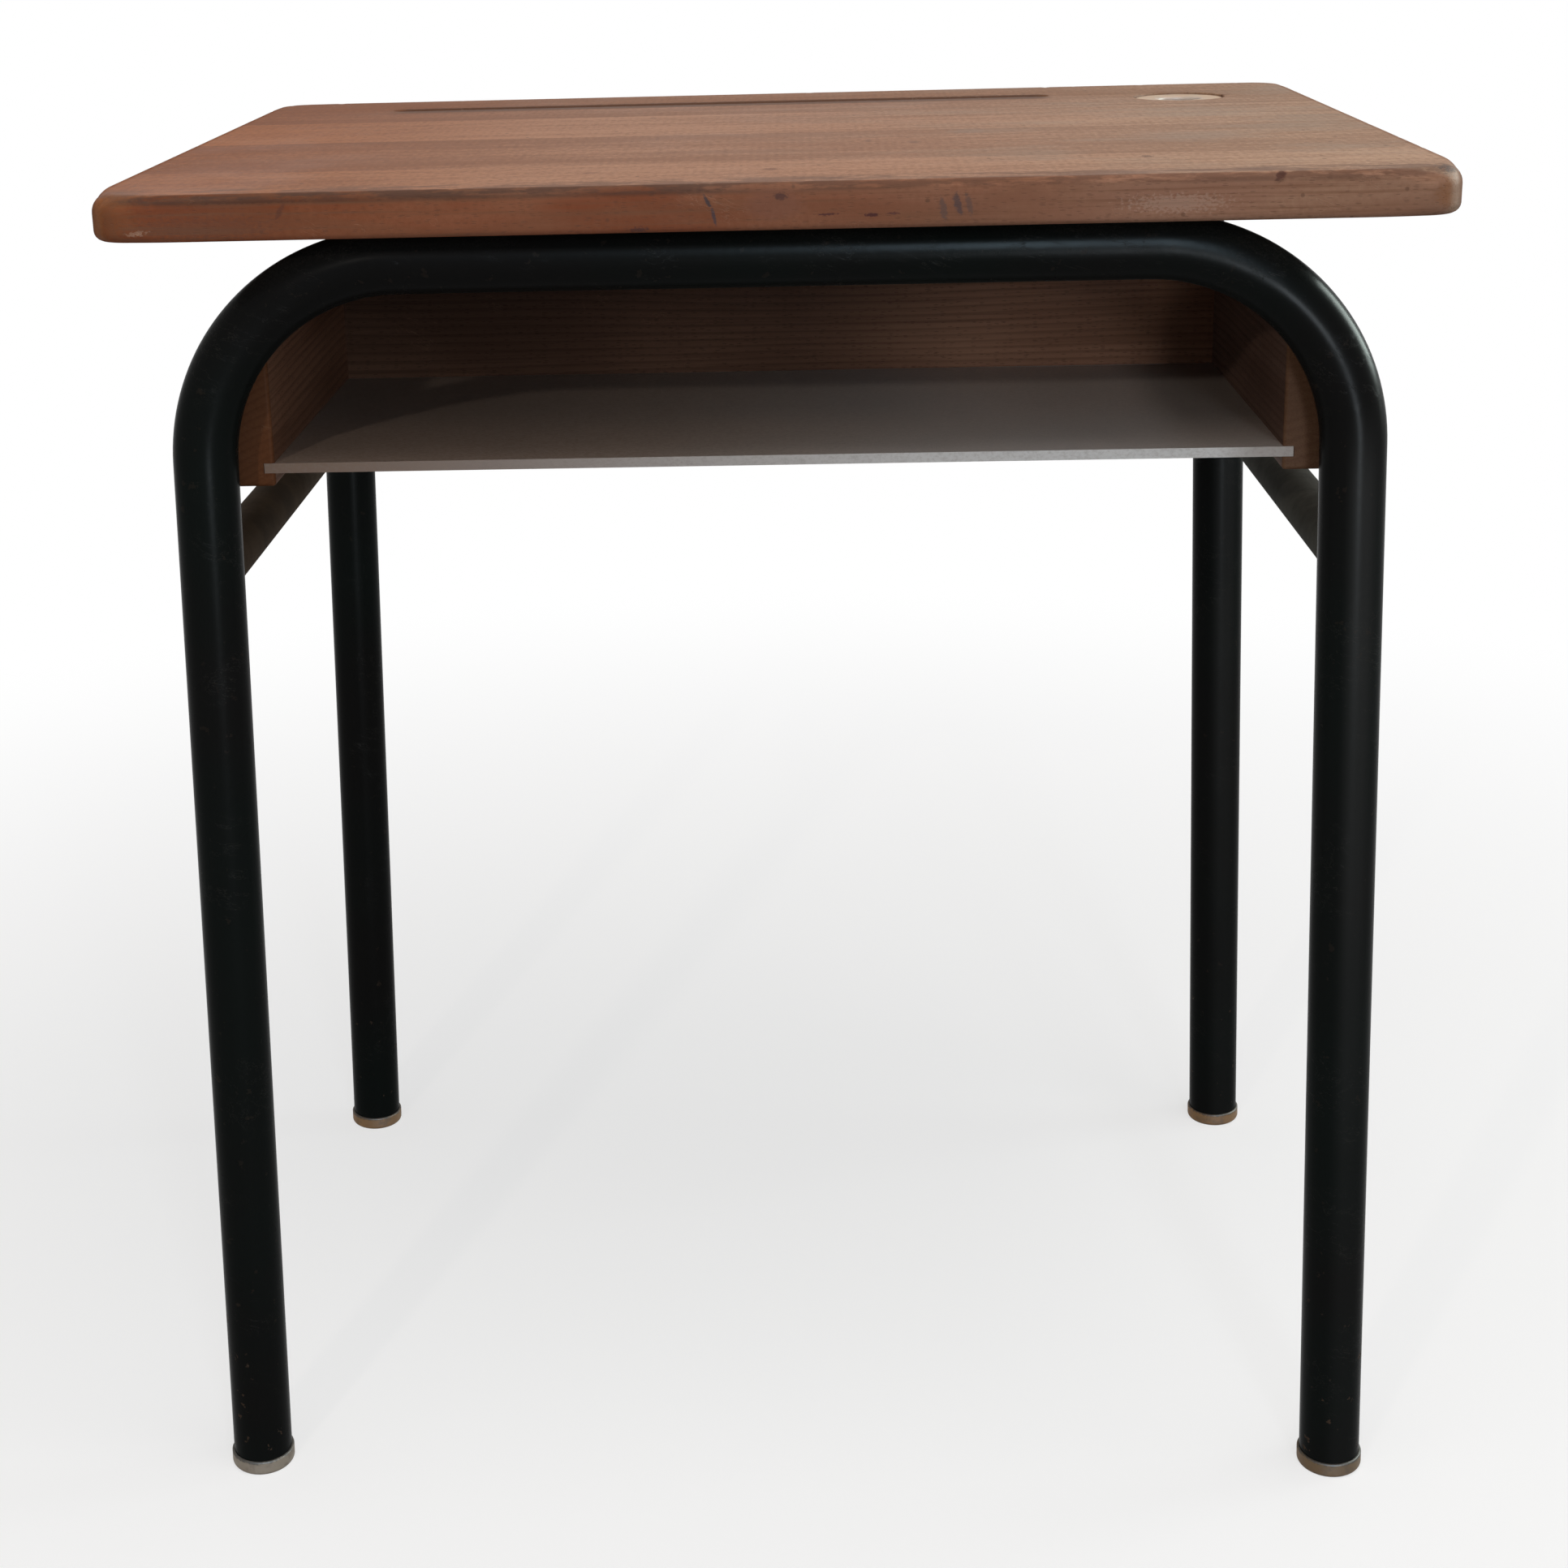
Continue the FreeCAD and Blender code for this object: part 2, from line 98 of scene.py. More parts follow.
def largest(first, second):
    return calc("MAXIMUM", first, second)


def apart(first, second):
    return calc("ABSOLUTE", minus(first, second))


def vectorCalc(operation, *values):
    node = addNode(treeOf(values), "ShaderNodeVectorMath", operation=operation)
    for socket, value in zip(node.inputs, values):
        feed(socket, value)
    return node.outputs["Value" if operation in ("LENGTH", "DOT_PRODUCT") else "Vector"]


def separate(vector):
    return addNode(vector.id_data, "ShaderNodeSeparateXYZ", {"Vector": vector}).outputs


def combine(x, y, z):
    return addNode(treeOf((x, y, z)), "ShaderNodeCombineXYZ", {"X": x, "Y": y, "Z": z}).outputs[0]


def span(value, low, high, toLow=0.0, toHigh=1.0):
    # smooth step from low to high
    node = addNode(value.id_data, "ShaderNodeMapRange", interpolation_type="SMOOTHSTEP")
    for socket, given in zip(node.inputs, (value, low, high, toLow, toHigh)):
        feed(socket, given)
    return node.outputs[0]


def blend(factor, first, second, mode="MIX"):
    node = addNode(treeOf((factor, first, second)), "ShaderNodeMix", data_type="RGBA", blend_type=mode)
    feed(node.inputs[0], factor)
    feed(node.inputs[6], first)
    feed(node.inputs[7], second)
    return node.outputs[2]


def lay(colour, tone, mask, strength):
    # a tone over a colour, where the mask is
    return blend(times(mask, strength), colour, tone)


def clouds(position, scale, detail=2.0, roughness=0.5):
    # a scale of three numbers is one for each axis
    if isinstance(scale, tuple):
        position, scale = vectorCalc("MULTIPLY", position, scale), 1.0
    values = {"Vector": position, "Scale": scale, "Detail": detail, "Roughness": roughness}
    return addNode(position.id_data, "ShaderNodeTexNoise", values).outputs[0]


def patchy(position, scale, detail, roughness, *edge):
    # clouds cut to soft patches
    return span(clouds(position, scale, detail, roughness), *edge)


def newGroup(name, inputs, outputs):
    group = bpy.data.node_groups.new(name, "ShaderNodeTree")
    for label, (kind, value) in inputs.items():
        socket = group.interface.new_socket(label, in_out="INPUT", socket_type="NodeSocket" + kind)
        if value is not None:
            socket.default_value = value
    for label, kind in outputs.items():
        group.interface.new_socket(label, in_out="OUTPUT", socket_type="NodeSocket" + kind)
    return group, group.nodes.new("NodeGroupInput").outputs, group.nodes.new("NodeGroupOutput").inputs


def place(tree, group, values):
    node = tree.nodes.new("ShaderNodeGroup")
    node.node_tree = group
    for name, value in values.items():
        feed(node.inputs[name], value)
    return node.outputs


def newMaterial(name, settings):
    material = bpy.data.materials.new(name)
    material.use_nodes = True
    tree = material.node_tree
    shader = tree.nodes["Principled BSDF"]
    for label, value in settings.items():
        shader.inputs[label].default_value = value
    position = tree.nodes.new("ShaderNodeTexCoord").outputs["Object"]
    return material, tree, shader, position


def finish(shader, look, colour, roughness, height):
    feed(shader.inputs["Base Color"], colour)
    feed(shader.inputs["Roughness"], roughness)
    strength, distance = look["bump"]
    values = {"Height": height, "Strength": strength, "Distance": distance}
    feed(shader.inputs["Normal"], addNode(shader.id_data, "ShaderNodeBump", values).outputs[0])


# Camera, lamps, floor

camera = {
    "position": (0.01536, -1.50195, 0.92506),
    "yaw": -2.753, "pitch": 16.568, "roll": 1.591,       # degrees
    "lens": 56.34,
    "shift": (0.0592, -0.115),
}


def placeCamera():
    yaw, pitch, roll = (math.radians(camera[turn]) for turn in ("yaw", "pitch", "roll"))
    ahead = Vector((math.sin(yaw) * math.cos(pitch), math.cos(yaw) * math.cos(pitch), -math.sin(pitch)))
    level = Vector((math.cos(yaw), -math.sin(yaw), 0))
    down = ahead.cross(level)
    right = math.cos(roll) * level + math.sin(roll) * down
    below = math.cos(roll) * down - math.sin(roll) * level
    data = bpy.data.cameras.new("deskCamera")
    data.lens = camera["lens"]
    data.shift_x, data.shift_y = camera["shift"]
    seen = bpy.data.objects.new("deskCamera", data)
    turned = Matrix((right, -below, -ahead)).transposed()
    seen.matrix_world = Matrix.Translation(camera["position"]) @ turned.to_4x4()
    bpy.context.scene.collection.objects.link(seen)
    bpy.context.scene.camera = seen


lamps = {
    "overheadSoftbox": {
        "at": (0.35, -0.45, 2.35), "to": (0.0, 0.0, 0.7), "size": (1.7, 1.3), "watts": 23.0,
        "colour": (1.0, 0.97, 0.94)},
    "windowRight": {
        "at": (0.72, -3.1, 1.25), "to": (0.1, 0.0, 0.6), "size": (0.35, 0.7), "watts": 17.0,
        "colour": (0.90, 0.96, 1.0)},
    "sideSoftbox": {
        "at": (2.3, 0.5, 1.1), "to": (0.2, 0.0, 0.5), "size": (0.7, 1.5), "watts": 8.0,
        "colour": (0.93, 1.0, 0.97)},
    "spotLeft": {
        "at": (-1.0, -2.55, 1.77), "to": (-0.2, -0.05, 0.62), "size": (0.08, 0.08), "watts": 11.0,
        "colour": (1.0, 0.90, 0.80)},
    # the next three only show as highlights on the enamel
    "windowGlint": {
        "at": (0.60, -3.0, 1.95), "to": (0.2, -0.2, 0.73), "size": (0.75, 1.5), "watts": 310.0,
        "colour": (0.62, 0.84, 1.0), "glintOnly": True},
    "lowGlint": {
        "at": (0.90, -3.0, 0.35), "to": (0.3, -0.2, 0.65), "size": (0.5, 0.6), "watts": 115.0,
        "colour": (0.84, 0.93, 1.0), "glintOnly": True},
    "rimGlint": {
        "at": (2.1, 0.6, 1.3), "to": (0.3, -0.2, 0.65), "size": (0.8, 1.0), "watts": 130.0,
        "colour": (0.86, 1.0, 0.94), "glintOnly": True},
}


def placeLamps():
    for name, lamp in lamps.items():
        data = bpy.data.lights.new(name, "AREA")
        data.shape = "RECTANGLE"
        data.size, data.size_y = lamp["size"]
        data.energy = lamp["watts"]
        data.color = lamp["colour"]
        holder = bpy.data.objects.new(name, data)
        aim = Vector(lamp["to"]) - Vector(lamp["at"])
        holder.location = lamp["at"]
        holder.rotation_euler = aim.to_track_quat("-Z", "Y").to_euler()
        holder.visible_diffuse = not lamp.get("glintOnly", False)
        bpy.context.scene.collection.objects.link(holder)


surroundings = {
    "fill": 0.33,                                # strength of the room's light on the desk
    "floorReach": 14.0,
    "nearDistance": 0.6, "farDistance": 1.7,     # the floor pales between these
    "leastGlow": 0.62,
    "floorSeen": 0.96, "floorLit": 0.3,          # grey of the floor, seen directly and in its light
}


def seenDirectly(tree):
    # 1 for the camera and for mirror and glass rays
    rays = tree.nodes.new("ShaderNodeLightPath").outputs
    mirrored = largest(rays["Is Glossy Ray"], rays["Is Transmission Ray"])
    return largest(rays["Is Camera Ray"], mirrored)


def paintWorld():
    world = bpy.data.worlds.new("paleRoom")
    bpy.context.scene.world = world
    world.use_nodes = True
    tree = world.node_tree
    strength = span(seenDirectly(tree), 0.0, 1.0, surroundings["fill"], 1.0)
    tree.nodes["Background"].inputs["Color"].default_value = (1, 1, 1, 1)
    feed(tree.nodes["Background"].inputs["Strength"], strength)


def layFloor():
    reach = surroundings["floorReach"]
    mesh = bpy.data.meshes.new("paleFloor")
    corners = [(-reach, -reach, 0), (reach, -reach, 0), (reach, reach, 0), (-reach, reach, 0)]
    mesh.from_pydata(corners, [], [(0, 1, 2, 3)])
    floor = bpy.data.objects.new("paleFloor", mesh)
    bpy.context.scene.collection.objects.link(floor)
    material = bpy.data.materials.new("paleFloor")
    material.use_nodes = True
    tree = material.node_tree
    tree.nodes.remove(tree.nodes["Principled BSDF"])
    position = tree.nodes.new("ShaderNodeTexCoord").outputs["Object"]
    away = span(vectorCalc("LENGTH", position), surroundings["nearDistance"],
                surroundings["farDistance"], surroundings["leastGlow"], 1.0)
    direct = seenDirectly(tree)
    shade = span(direct, 0.0, 1.0, surroundings["floorLit"], surroundings["floorSeen"])
    colour = addNode(tree, "ShaderNodeCombineColor", {"Red": shade, "Green": shade, "Blue": shade}).outputs[0]
    matt = addNode(tree, "ShaderNodeBsdfDiffuse", {"Color": colour}).outputs[0]
    bright = addNode(tree, "ShaderNodeEmission", {"Color": (1, 1, 1, 1), "Strength": 1.0}).outputs[0]
    mixed = addNode(tree, "ShaderNodeMixShader", {"Fac": times(away, direct)})
    feed(mixed.inputs[1], matt)
    feed(mixed.inputs[2], bright)
    feed(tree.nodes["Material Output"].inputs["Surface"], mixed.outputs[0])
    mesh.materials.append(material)


placeCamera()
placeLamps()
paintWorld()
layFloor()
bpy.context.scene.view_settings.view_transform = "Standard"
print("Camera, lamps and floor placed")


# Shared effects

# In the dictionaries clouds are (scale, detail, roughness), patches have their edges after these,
# a fade or an edge is (from, to) and a bump is (strength, distance).

woodGrain = {
    "staveShift": 3.71,                                # each stave comes from another place in the timber
    "wander": ((1.3, 5, 5), 2), "wanderBy": 0.055,     # slow bends of the rings
    "heartSpread": 0.7, "heartDrop": -0.04,            # where the heart of the tree lies
    "lateStart": 0.35, "lateEnd": 0.9,                 # dark share of a ring
    "fibres": ((9, 520, 520), 3, 0.6), "bands": ((1.6, 24, 24), 3, 0.55),
    "fleckCells": (210, 1150, 1150), "fleckRarity": 0.6, "fleckEdge": (0.42, 0.22),
}


def makeWoodFigure():
    # solid timber with its grain along X: growth rings, fibre streaks and the short brown flecks of beech
    look = woodGrain
    group, given, out = newGroup(
        "woodFigure",
        {"Position": ("Vector", None), "Stave": ("Float", 0), "Ring Spacing": ("Float", 0.004),
         "Heart Depth": ("Float", 0.72)},
        {"Rings": "Float", "Streaks": "Float", "Flecks": "Float", "Tone": "Float"})
    seed = times(given["Stave"], look["staveShift"])
    drawn = addNode(group, "ShaderNodeTexWhiteNoise", {"W": seed}, noise_dimensions="1D")
    draws = separate(drawn.outputs["Color"])
    shifted = vectorCalc("ADD", given["Position"], combine(seed, 0, 0))
    _, y, z = separate(given["Position"])
    slow = clouds(shifted, *look["wander"])
    heartY = timesPlus(draws[0], look["heartSpread"], -look["heartSpread"] / 2)
    heartZ = timesPlus(draws[1], look["heartDrop"], given["Heart Depth"])
    acrossY, acrossZ = minus(y, heartY), minus(z, heartZ)
    squared = calc("ADD", times(acrossY, acrossY), times(acrossZ, acrossZ))
    radius = calc("ADD", calc("SQRT", squared), times(slow, look["wanderBy"]))
    ring = calc("FRACT", calc("DIVIDE", radius, given["Ring Spacing"]))
    darkening = span(ring, look["lateStart"], look["lateEnd"])
    feed(out["Rings"], times(darkening, span(ring, 1, look["lateEnd"])))
    feed(out["Streaks"], clouds(shifted, *look["fibres"]))
    cells = vectorCalc("MULTIPLY", shifted, look["fleckCells"])
    cell = addNode(group, "ShaderNodeTexVoronoi", {"Vector": cells, "Scale": 1, "Randomness": 1})
    picked = calc("GREATER_THAN", separate(cell.outputs["Color"])[0], look["fleckRarity"])
    feed(out["Flecks"], times(picked, span(cell.outputs["Distance"], *look["fleckEdge"])))
    feed(out["Tone"], clouds(shifted, *look["bands"]))
    return group


markShape = {"grit": ((500, 900, 900), 2), "gritReach": 3, "edge": (1.15, 0.55)}


def makeMark():
    # soft oval stain with a ragged rim
    look = markShape
    group, given, out = newGroup(
        "mark",
        {"Position": ("Vector", None), "Centre": ("Vector", None), "Reach": ("Vector", None),
         "Lean": ("Float", 0), "Raggedness": ("Float", 0.35)},
        {"Mask": "Float"})
    x, y, z = separate(vectorCalc("SUBTRACT", given["Position"], given["Centre"]))
    leaning = timesPlus(times(z, given["Lean"]), -1, x)
    shaped = vectorCalc("LENGTH", vectorCalc("DIVIDE", combine(leaning, y, z), given["Reach"]))
    grit = clouds(given["Position"], *look["grit"])
    torn = times(minus(grit, 0.5), given["Raggedness"])
    feed(out["Mask"], span(timesPlus(torn, look["gritReach"], shaped), *look["edge"]))
    return group


wearLook = {
    "patchGrain": (4, 0.6), "rubbedEdge": (0.5, 0.72),
    "bend": (14, 2), "bendX": 0.05, "bendY": 0.08, "squeeze": 0.12, "slant": 0.35,    # course of scratches
    "hairGrain": (5, 0.7), "hairWidth": 0.006, "kept": (22, 2, 0.5, 0.52, 0.62), "grit": (900, 2, 0.7),
    "facingUp": (0.2, 1), "settledEdge": (0.35, 0.65), "dustGrain": (0.35, 0.7),
}


def makeWear():
    # rubbed patches, hairline scratches and settled dust
    look = wearLook
    group, given, out = newGroup(
        "wear",
        {"Position": ("Vector", None), "Patch Scale": ("Float", 9), "Scratch Scale": ("Float", 60),
         "Dust Level": ("Float", 0.6)},
        {"Rubbed": "Float", "Scratches": "Float", "Dust": "Float", "Grit": "Float"})
    patches = clouds(given["Position"], given["Patch Scale"], *look["patchGrain"])
    feed(out["Rubbed"], span(patches, *look["rubbedEdge"]))
    bent = clouds(given["Position"], *look["bend"])
    x, y, z = separate(given["Position"])
    skewed = combine(timesPlus(bent, look["bendX"], times(x, look["squeeze"])),
                     timesPlus(bent, look["bendY"], y), timesPlus(x, look["slant"], z))
    hair = clouds(skewed, given["Scratch Scale"], *look["hairGrain"])
    line = span(apart(hair, 0.5), look["hairWidth"], 0)
    kept = patchy(given["Position"], *look["kept"])
    feed(out["Scratches"], times(line, kept))
    grit = clouds(given["Position"], *look["grit"])
    feed(out["Grit"], grit)
    upward = separate(group.nodes.new("ShaderNodeNewGeometry").outputs["Normal"])[2]
    settled = times(span(upward, *look["facingUp"]), span(patches, *look["settledEdge"]))
    grainy = times(settled, span(grit, *look["dustGrain"]))
    feed(out["Dust"], times(grainy, given["Dust Level"]))
    return group


woodFigure = makeWoodFigure()
mark = makeMark()
wear = makeWear()
print("Shared effects built")


# Materials

topBeech = {
    "gloss": {"IOR": 1.16, "Specular IOR Level": 0.5},
    "staveEdges": (-0.16, -0.016, 0.11),       # glue lines, from the front to the rear
    "staveTones": (0.38, 0.78, 0.34, 0.8),      # 0 pale, 1 dark
    "waver": (3, 1), "waverBy": 0.004, "glueBlur": 0.0008, "glueLine": (0.0012, 0.0003), "glueStrength": 0.3,
    "figure": {"Ring Spacing": 0.0052, "Heart Depth": 0.71},
    "wear": {"Patch Scale": 5, "Scratch Scale": 34},
    "middleTone": 0.575, "toneStart": 0.43, "toneEdge": (1.53, 2.37),
    "contrast": (-0.1, 0.25, 0.8, 0.45),        # of the staves, from the left to the right
    "flame": ((6, 75, 75), 4, 0.65), "mottle": ((330, 170, 330), 3, 0.65),
    "clouds": (4, 3),
    "bandShare": 0.75, "flameShare": 1.05, "cloudShare": 0.3, "mottleShare": 1.05,
    "pale": (0.358, 0.187, 0.112, 1), "dark": (0.208, 0.096, 0.052, 1),
    # painted light and shade across the top: darker and more orange to the left, paler and greyer to the
    # right
    "leftShadeTint": (0.8, 0.53, 0.3, 1), "middleTint": (1, 1, 1, 1), "rightLightTint": (1.08, 1.29, 1.38, 1),
    "leftShadeFade": (-0.36, -0.06), "rightLightFade": (0, 0.33),
    "dull": (0.25, 0.19, 0.14, 1), "blotches": ((9, 20, 20), 5, 0.6, 0.46, 0.68),
    "blotchFade": (-0.1, 0.25), "blotchStrength": 0.5,
    "frontFace": (-0.2545, -0.2575), "rearFace": (0.2535, 0.2585),      # where the top turns into its sides
    "endFace": (0.3435, 0.3485), "underside": (0.7535, 0.7515),
    # painted shade of the sides, orange at the left and mauve at the right
    "edgeColour": (0.194, 0.048, 0.016, 1), "mauve": (0.266, 0.13, 0.083, 1), "mauveFade": (-0.02, 0.22),
    "sideClouds": ((14, 60, 60), 4, 0.5, 0.3, 0.7), "sideLeast": 0.6, "sideMore": 0.3,
    "ringColour": (0.168, 0.075, 0.039, 1), "fleckColour": (0.1, 0.048, 0.03, 1),
    "scratchColour": (0.5, 0.34, 0.25, 1),
    "strengths": {
        # on the top, and what the sides add
        "rings": (0.2, 0.12), "streaks": (0.5, 0.35), "flecks": (0.6, -0.22), "scratches": (0.3, -0.2),
    },
    "streakEdge": (0.46, 0.78), "endGrain": 0.45,
    "poreCells": (75, 34, 75), "poreEdge": (0.11, 0.06), "poreRarity": 0.55, "poreStrength": 0.5,
    "rimY": (-0.228, -0.242), "rimZ": (0.7695, 0.7725),               # grime along the front edge
    "grime": ((38, 130, 260), 4, 0.65, 0.41, 0.57), "grimeStrength": 0.68,
    "grooveY": 0.191, "dirtY": 0.189, "grooveDirt": (0.085, 0.036, 0.017, 1), "dirtStrength": 0.88,
    "crumbs": ((240, 240, 240), 3, 0.6), "crumbSpread": (0.186, 0.196, 0.002, 0.014),
    "dirtEdge": (0.0215, 0.0185), "dirtLeft": (-0.266, -0.246), "dirtRight": (0.19, 0.176),
    "grooveTop": (0.7749, 0.7735), "grooveFloor": (0.766, 0.768), "grooveSide": (0.008, 0.0072),
    "grooveLeft": (-0.268, -0.262), "grooveRight": (0.193, 0.187),
    # painted shade along the rounded upper edge of the front face
    "upperEdgeShade": (0.66, 0.77, 0.88, 1), "upperEdgeZ": (0.769, 0.7712), "upperEdgeX": (0.1, -0.06),
    "roughness": 0.56, "rubbedGloss": -0.12, "streakRough": 0.12, "sideRough": 0.36,
    "relief": {"streaks": -0.5, "flecks": -0.4, "scratches": -0.8, "grit": 0.25},
    "bump": (0.35, 0.0004),
}

boardMarks = {
    # centre, reach, lean, raggedness, colour, strength
    "inkHigh": ((-0.0306, -0.26, 0.7662), (0.0012, 0.004, 0.0036), -0.5, 0.4, (0.055, 0.045, 0.05), 0.85),
    "inkLow": ((-0.0275, -0.26, 0.759), (0.0011, 0.004, 0.005), -0.2, 0.4, (0.055, 0.045, 0.055), 0.8),
    "knot": ((0.0064, -0.26, 0.7682), (0.0042, 0.004, 0.0021), 0, 0.5, (0.045, 0.022, 0.022), 0.95),
    "knotHalo": ((0.003, -0.26, 0.764), (0.016, 0.004, 0.009), 0, 0.3, (0.2, 0.088, 0.06), 0.4),
    "dashOne": ((0.0295, -0.26, 0.7587), (0.0055, 0.004, 0.0007), 0, 0.9, (0.07, 0.025, 0.025), 0.8),
    "dashTwo": ((0.052, -0.26, 0.758), (0.0036, 0.004, 0.0011), 0, 0.6, (0.06, 0.02, 0.02), 0.9),
    "dashThree": ((0.063, -0.26, 0.7585), (0.003, 0.004, 0.0006), 0, 0.9, (0.08, 0.03, 0.03), 0.7),
    "smudgeOne": ((0.088, -0.26, 0.76), (0.002, 0.004, 0.0065), -0.15, 0.5, (0.09, 0.065, 0.062), 0.6),
    "smudgeTwo": ((0.0952, -0.26, 0.7625), (0.0022, 0.004, 0.0062), -0.25, 0.5, (0.075, 0.052, 0.055), 0.75),
    "smudgeThree": ((0.101, -0.26, 0.762), (0.0018, 0.004, 0.006), -0.2, 0.6, (0.09, 0.062, 0.06), 0.55),
    "nickStain": ((0.2552, -0.2575, 0.7725), (0.003, 0.006, 0.0032), 0.5, 0.3, (0.065, 0.026, 0.018), 0.85),
    "paleFibres": ((0.2052, -0.26, 0.7605), (0.024, 0.004, 0.0045), 0, 1.1, (0.4, 0.27, 0.21), 0.4),
    # painted light: an orange patch of light on the front right corner
    "cornerPaintedLight": ((0.342, -0.252, 0.7625), (0.012, 0.014, 0.009), 0.3, 0.3, (0.25, 0.105, 0.042), 0.62),
    "cornerGrime": ((0.343, -0.25, 0.7745), (0.009, 0.007, 0.0022), 0, 1.1, (0.06, 0.04, 0.035), 0.8),
    "paleScratch": ((-0.3225, -0.26, 0.7562), (0.0052, 0.004, 0.0014), 1.2, 1.2, (0.46, 0.28, 0.19), 0.6),
    # painted light: an orange patch of light on the front left end
    "leftPaintedLight": ((-0.338, -0.254, 0.764), (0.02, 0.014, 0.014), 0, 0.3, (0.22, 0.088, 0.032), 0.35),
    "leftGrime": ((-0.288, -0.26, 0.7585), (0.038, 0.004, 0.006), 0, 1, (0.13, 0.055, 0.032), 0.42),
    "leftLine": ((-0.265, -0.26, 0.7712), (0.03, 0.006, 0.0009), 0, 0.9, (0.1, 0.04, 0.022), 0.75),
    "leftArc": ((-0.248, -0.26, 0.766), (0.0016, 0.004, 0.005), 0.5, 0.5, (0.11, 0.045, 0.028), 0.6),
    "lowSpot": ((-0.0654, -0.26, 0.753), (0.005, 0.004, 0.0016), 0, 0.9, (0.07, 0.035, 0.03), 0.7),
    "topSpotOne": ((0.001, -0.2, 0.775), (0.005, 0.005, 0.004), 0, 0.8, (0.11, 0.045, 0.028), 0.7),
    "topSpotTwo": ((0.2, -0.18, 0.775), (0.0035, 0.005, 0.004), 0, 0.9, (0.1, 0.05, 0.034), 0.7),
    "topSpotThree": ((0.081, -0.082, 0.775), (0.003, 0.006, 0.004), 0, 0.9, (0.12, 0.06, 0.042), 0.6),
    "topSpotFour": ((-0.094, -0.2, 0.775), (0.004, 0.0045, 0.004), 0, 0.9, (0.14, 0.06, 0.038), 0.55),
    "topSpotFive": ((0.056, -0.07, 0.775), (0.0022, 0.008, 0.004), 0, 0.9, (0.13, 0.065, 0.045), 0.5),
    "topSpotSix": ((-0.077, 0.096, 0.775), (0.0024, 0.006, 0.004), 0, 0.9, (0.13, 0.06, 0.038), 0.5),
    "topSmearOne": ((0.115, -0.03, 0.775), (0.011, 0.014, 0.004), 0, 1, (0.2, 0.135, 0.098), 0.4),
    "topSmearTwo": ((0.23, -0.085, 0.775), (0.035, 0.03, 0.004), 0, 1.2, (0.22, 0.145, 0.105), 0.35),
    "seamLeft": ((-0.23, -0.163, 0.775), (0.065, 0.0026, 0.004), 0, 1, (0.13, 0.05, 0.028), 0.6),
    "flameLeft": ((-0.26, -0.022, 0.775), (0.05, 0.003, 0.004), 0, 1, (0.15, 0.06, 0.034), 0.5),
    "tailCrack": ((0.299, 0.169, 0.775), (0.006, 0.0022, 0.004), 0, 0.8, (0.1, 0.045, 0.025), 0.8),
}


def paintStaves(tree, look, position, x, y):
    # the glued staves, each with a figure and tone of its own
    stave = 0
    waver = timesPlus(clouds(position, *look["waver"]), look["waverBy"], -look["waverBy"] / 2)
    seam = calc("ADD", y, waver)
    for edge in look["staveEdges"]:
        passed = span(seam, edge - look["glueBlur"], edge + look["glueBlur"])
        stave = calc("ADD", stave, passed)
    figure = place(tree, woodFigure, {"Position": position, "Stave": calc("ROUND", stave), **look["figure"]})
    last = len(look["staveTones"]) - 1
    tones = addNode(tree, "ShaderNodeValToRGB", {"Fac": calc("DIVIDE", stave, float(last))})
    stops = tones.color_ramp.elements
    for index, tone in enumerate(look["staveTones"]):
        stop = stops[0] if index == 0 else stops[-1] if index == last else stops.new(index / last)
        stop.position = index / last
        stop.color = (tone, tone, tone, 1)
    contrast = span(x, *look["contrast"])
    tone = timesPlus(minus(tones.outputs[0], look["middleTone"]), contrast, look["toneStart"])
    tone = timesPlus(figure["Tone"], look["bandShare"], tone)
    tone = timesPlus(clouds(position, *look["flame"]), look["flameShare"], tone)
    tone = timesPlus(clouds(position, *look["clouds"]), look["cloudShare"], tone)
    tone = timesPlus(clouds(position, *look["mottle"]), look["mottleShare"], tone)
    colour = blend(span(tone, *look["toneEdge"]), look["pale"], look["dark"])
    # painted light and shade: the top darker and more orange towards the left, paler and greyer towards the
    # right
    lightAndShadeTint = blend(span(x, *look["leftShadeFade"]), look["leftShadeTint"], look["middleTint"])
    lightAndShadeTint = blend(span(x, *look["rightLightFade"]), lightAndShadeTint, look["rightLightTint"])
    colour = blend(1, colour, lightAndShadeTint, "MULTIPLY")
    blotches = patchy(position, *look["blotches"])
    dulled = times(times(blotches, look["blotchStrength"]), span(x, *look["blotchFade"]))
    return blend(dulled, colour, look["dull"]), figure, seam


def grooveDirt(look, position, x, y, z):
    # crisp on the pupil's side, ragged behind
    crumbs = clouds(position, *look["crumbs"])
    ragged = times(crumbs, span(y, *look["crumbSpread"]))
    dirtReach = calc("ADD", ragged, apart(y, look["dirtY"]))
    within = times(span(x, *look["dirtLeft"]), span(x, *look["dirtRight"]))
    beside = times(span(dirtReach, *look["dirtEdge"]), within)
    inside = times(span(z, *look["grooveTop"]), span(apart(y, look["grooveY"]), *look["grooveSide"]))
    inside = times(inside, times(span(x, *look["grooveLeft"]), span(x, *look["grooveRight"])))
    inside = times(inside, span(z, *look["grooveFloor"]))
    return largest(times(beside, look["dirtStrength"]), times(inside, look["dirtStrength"]))


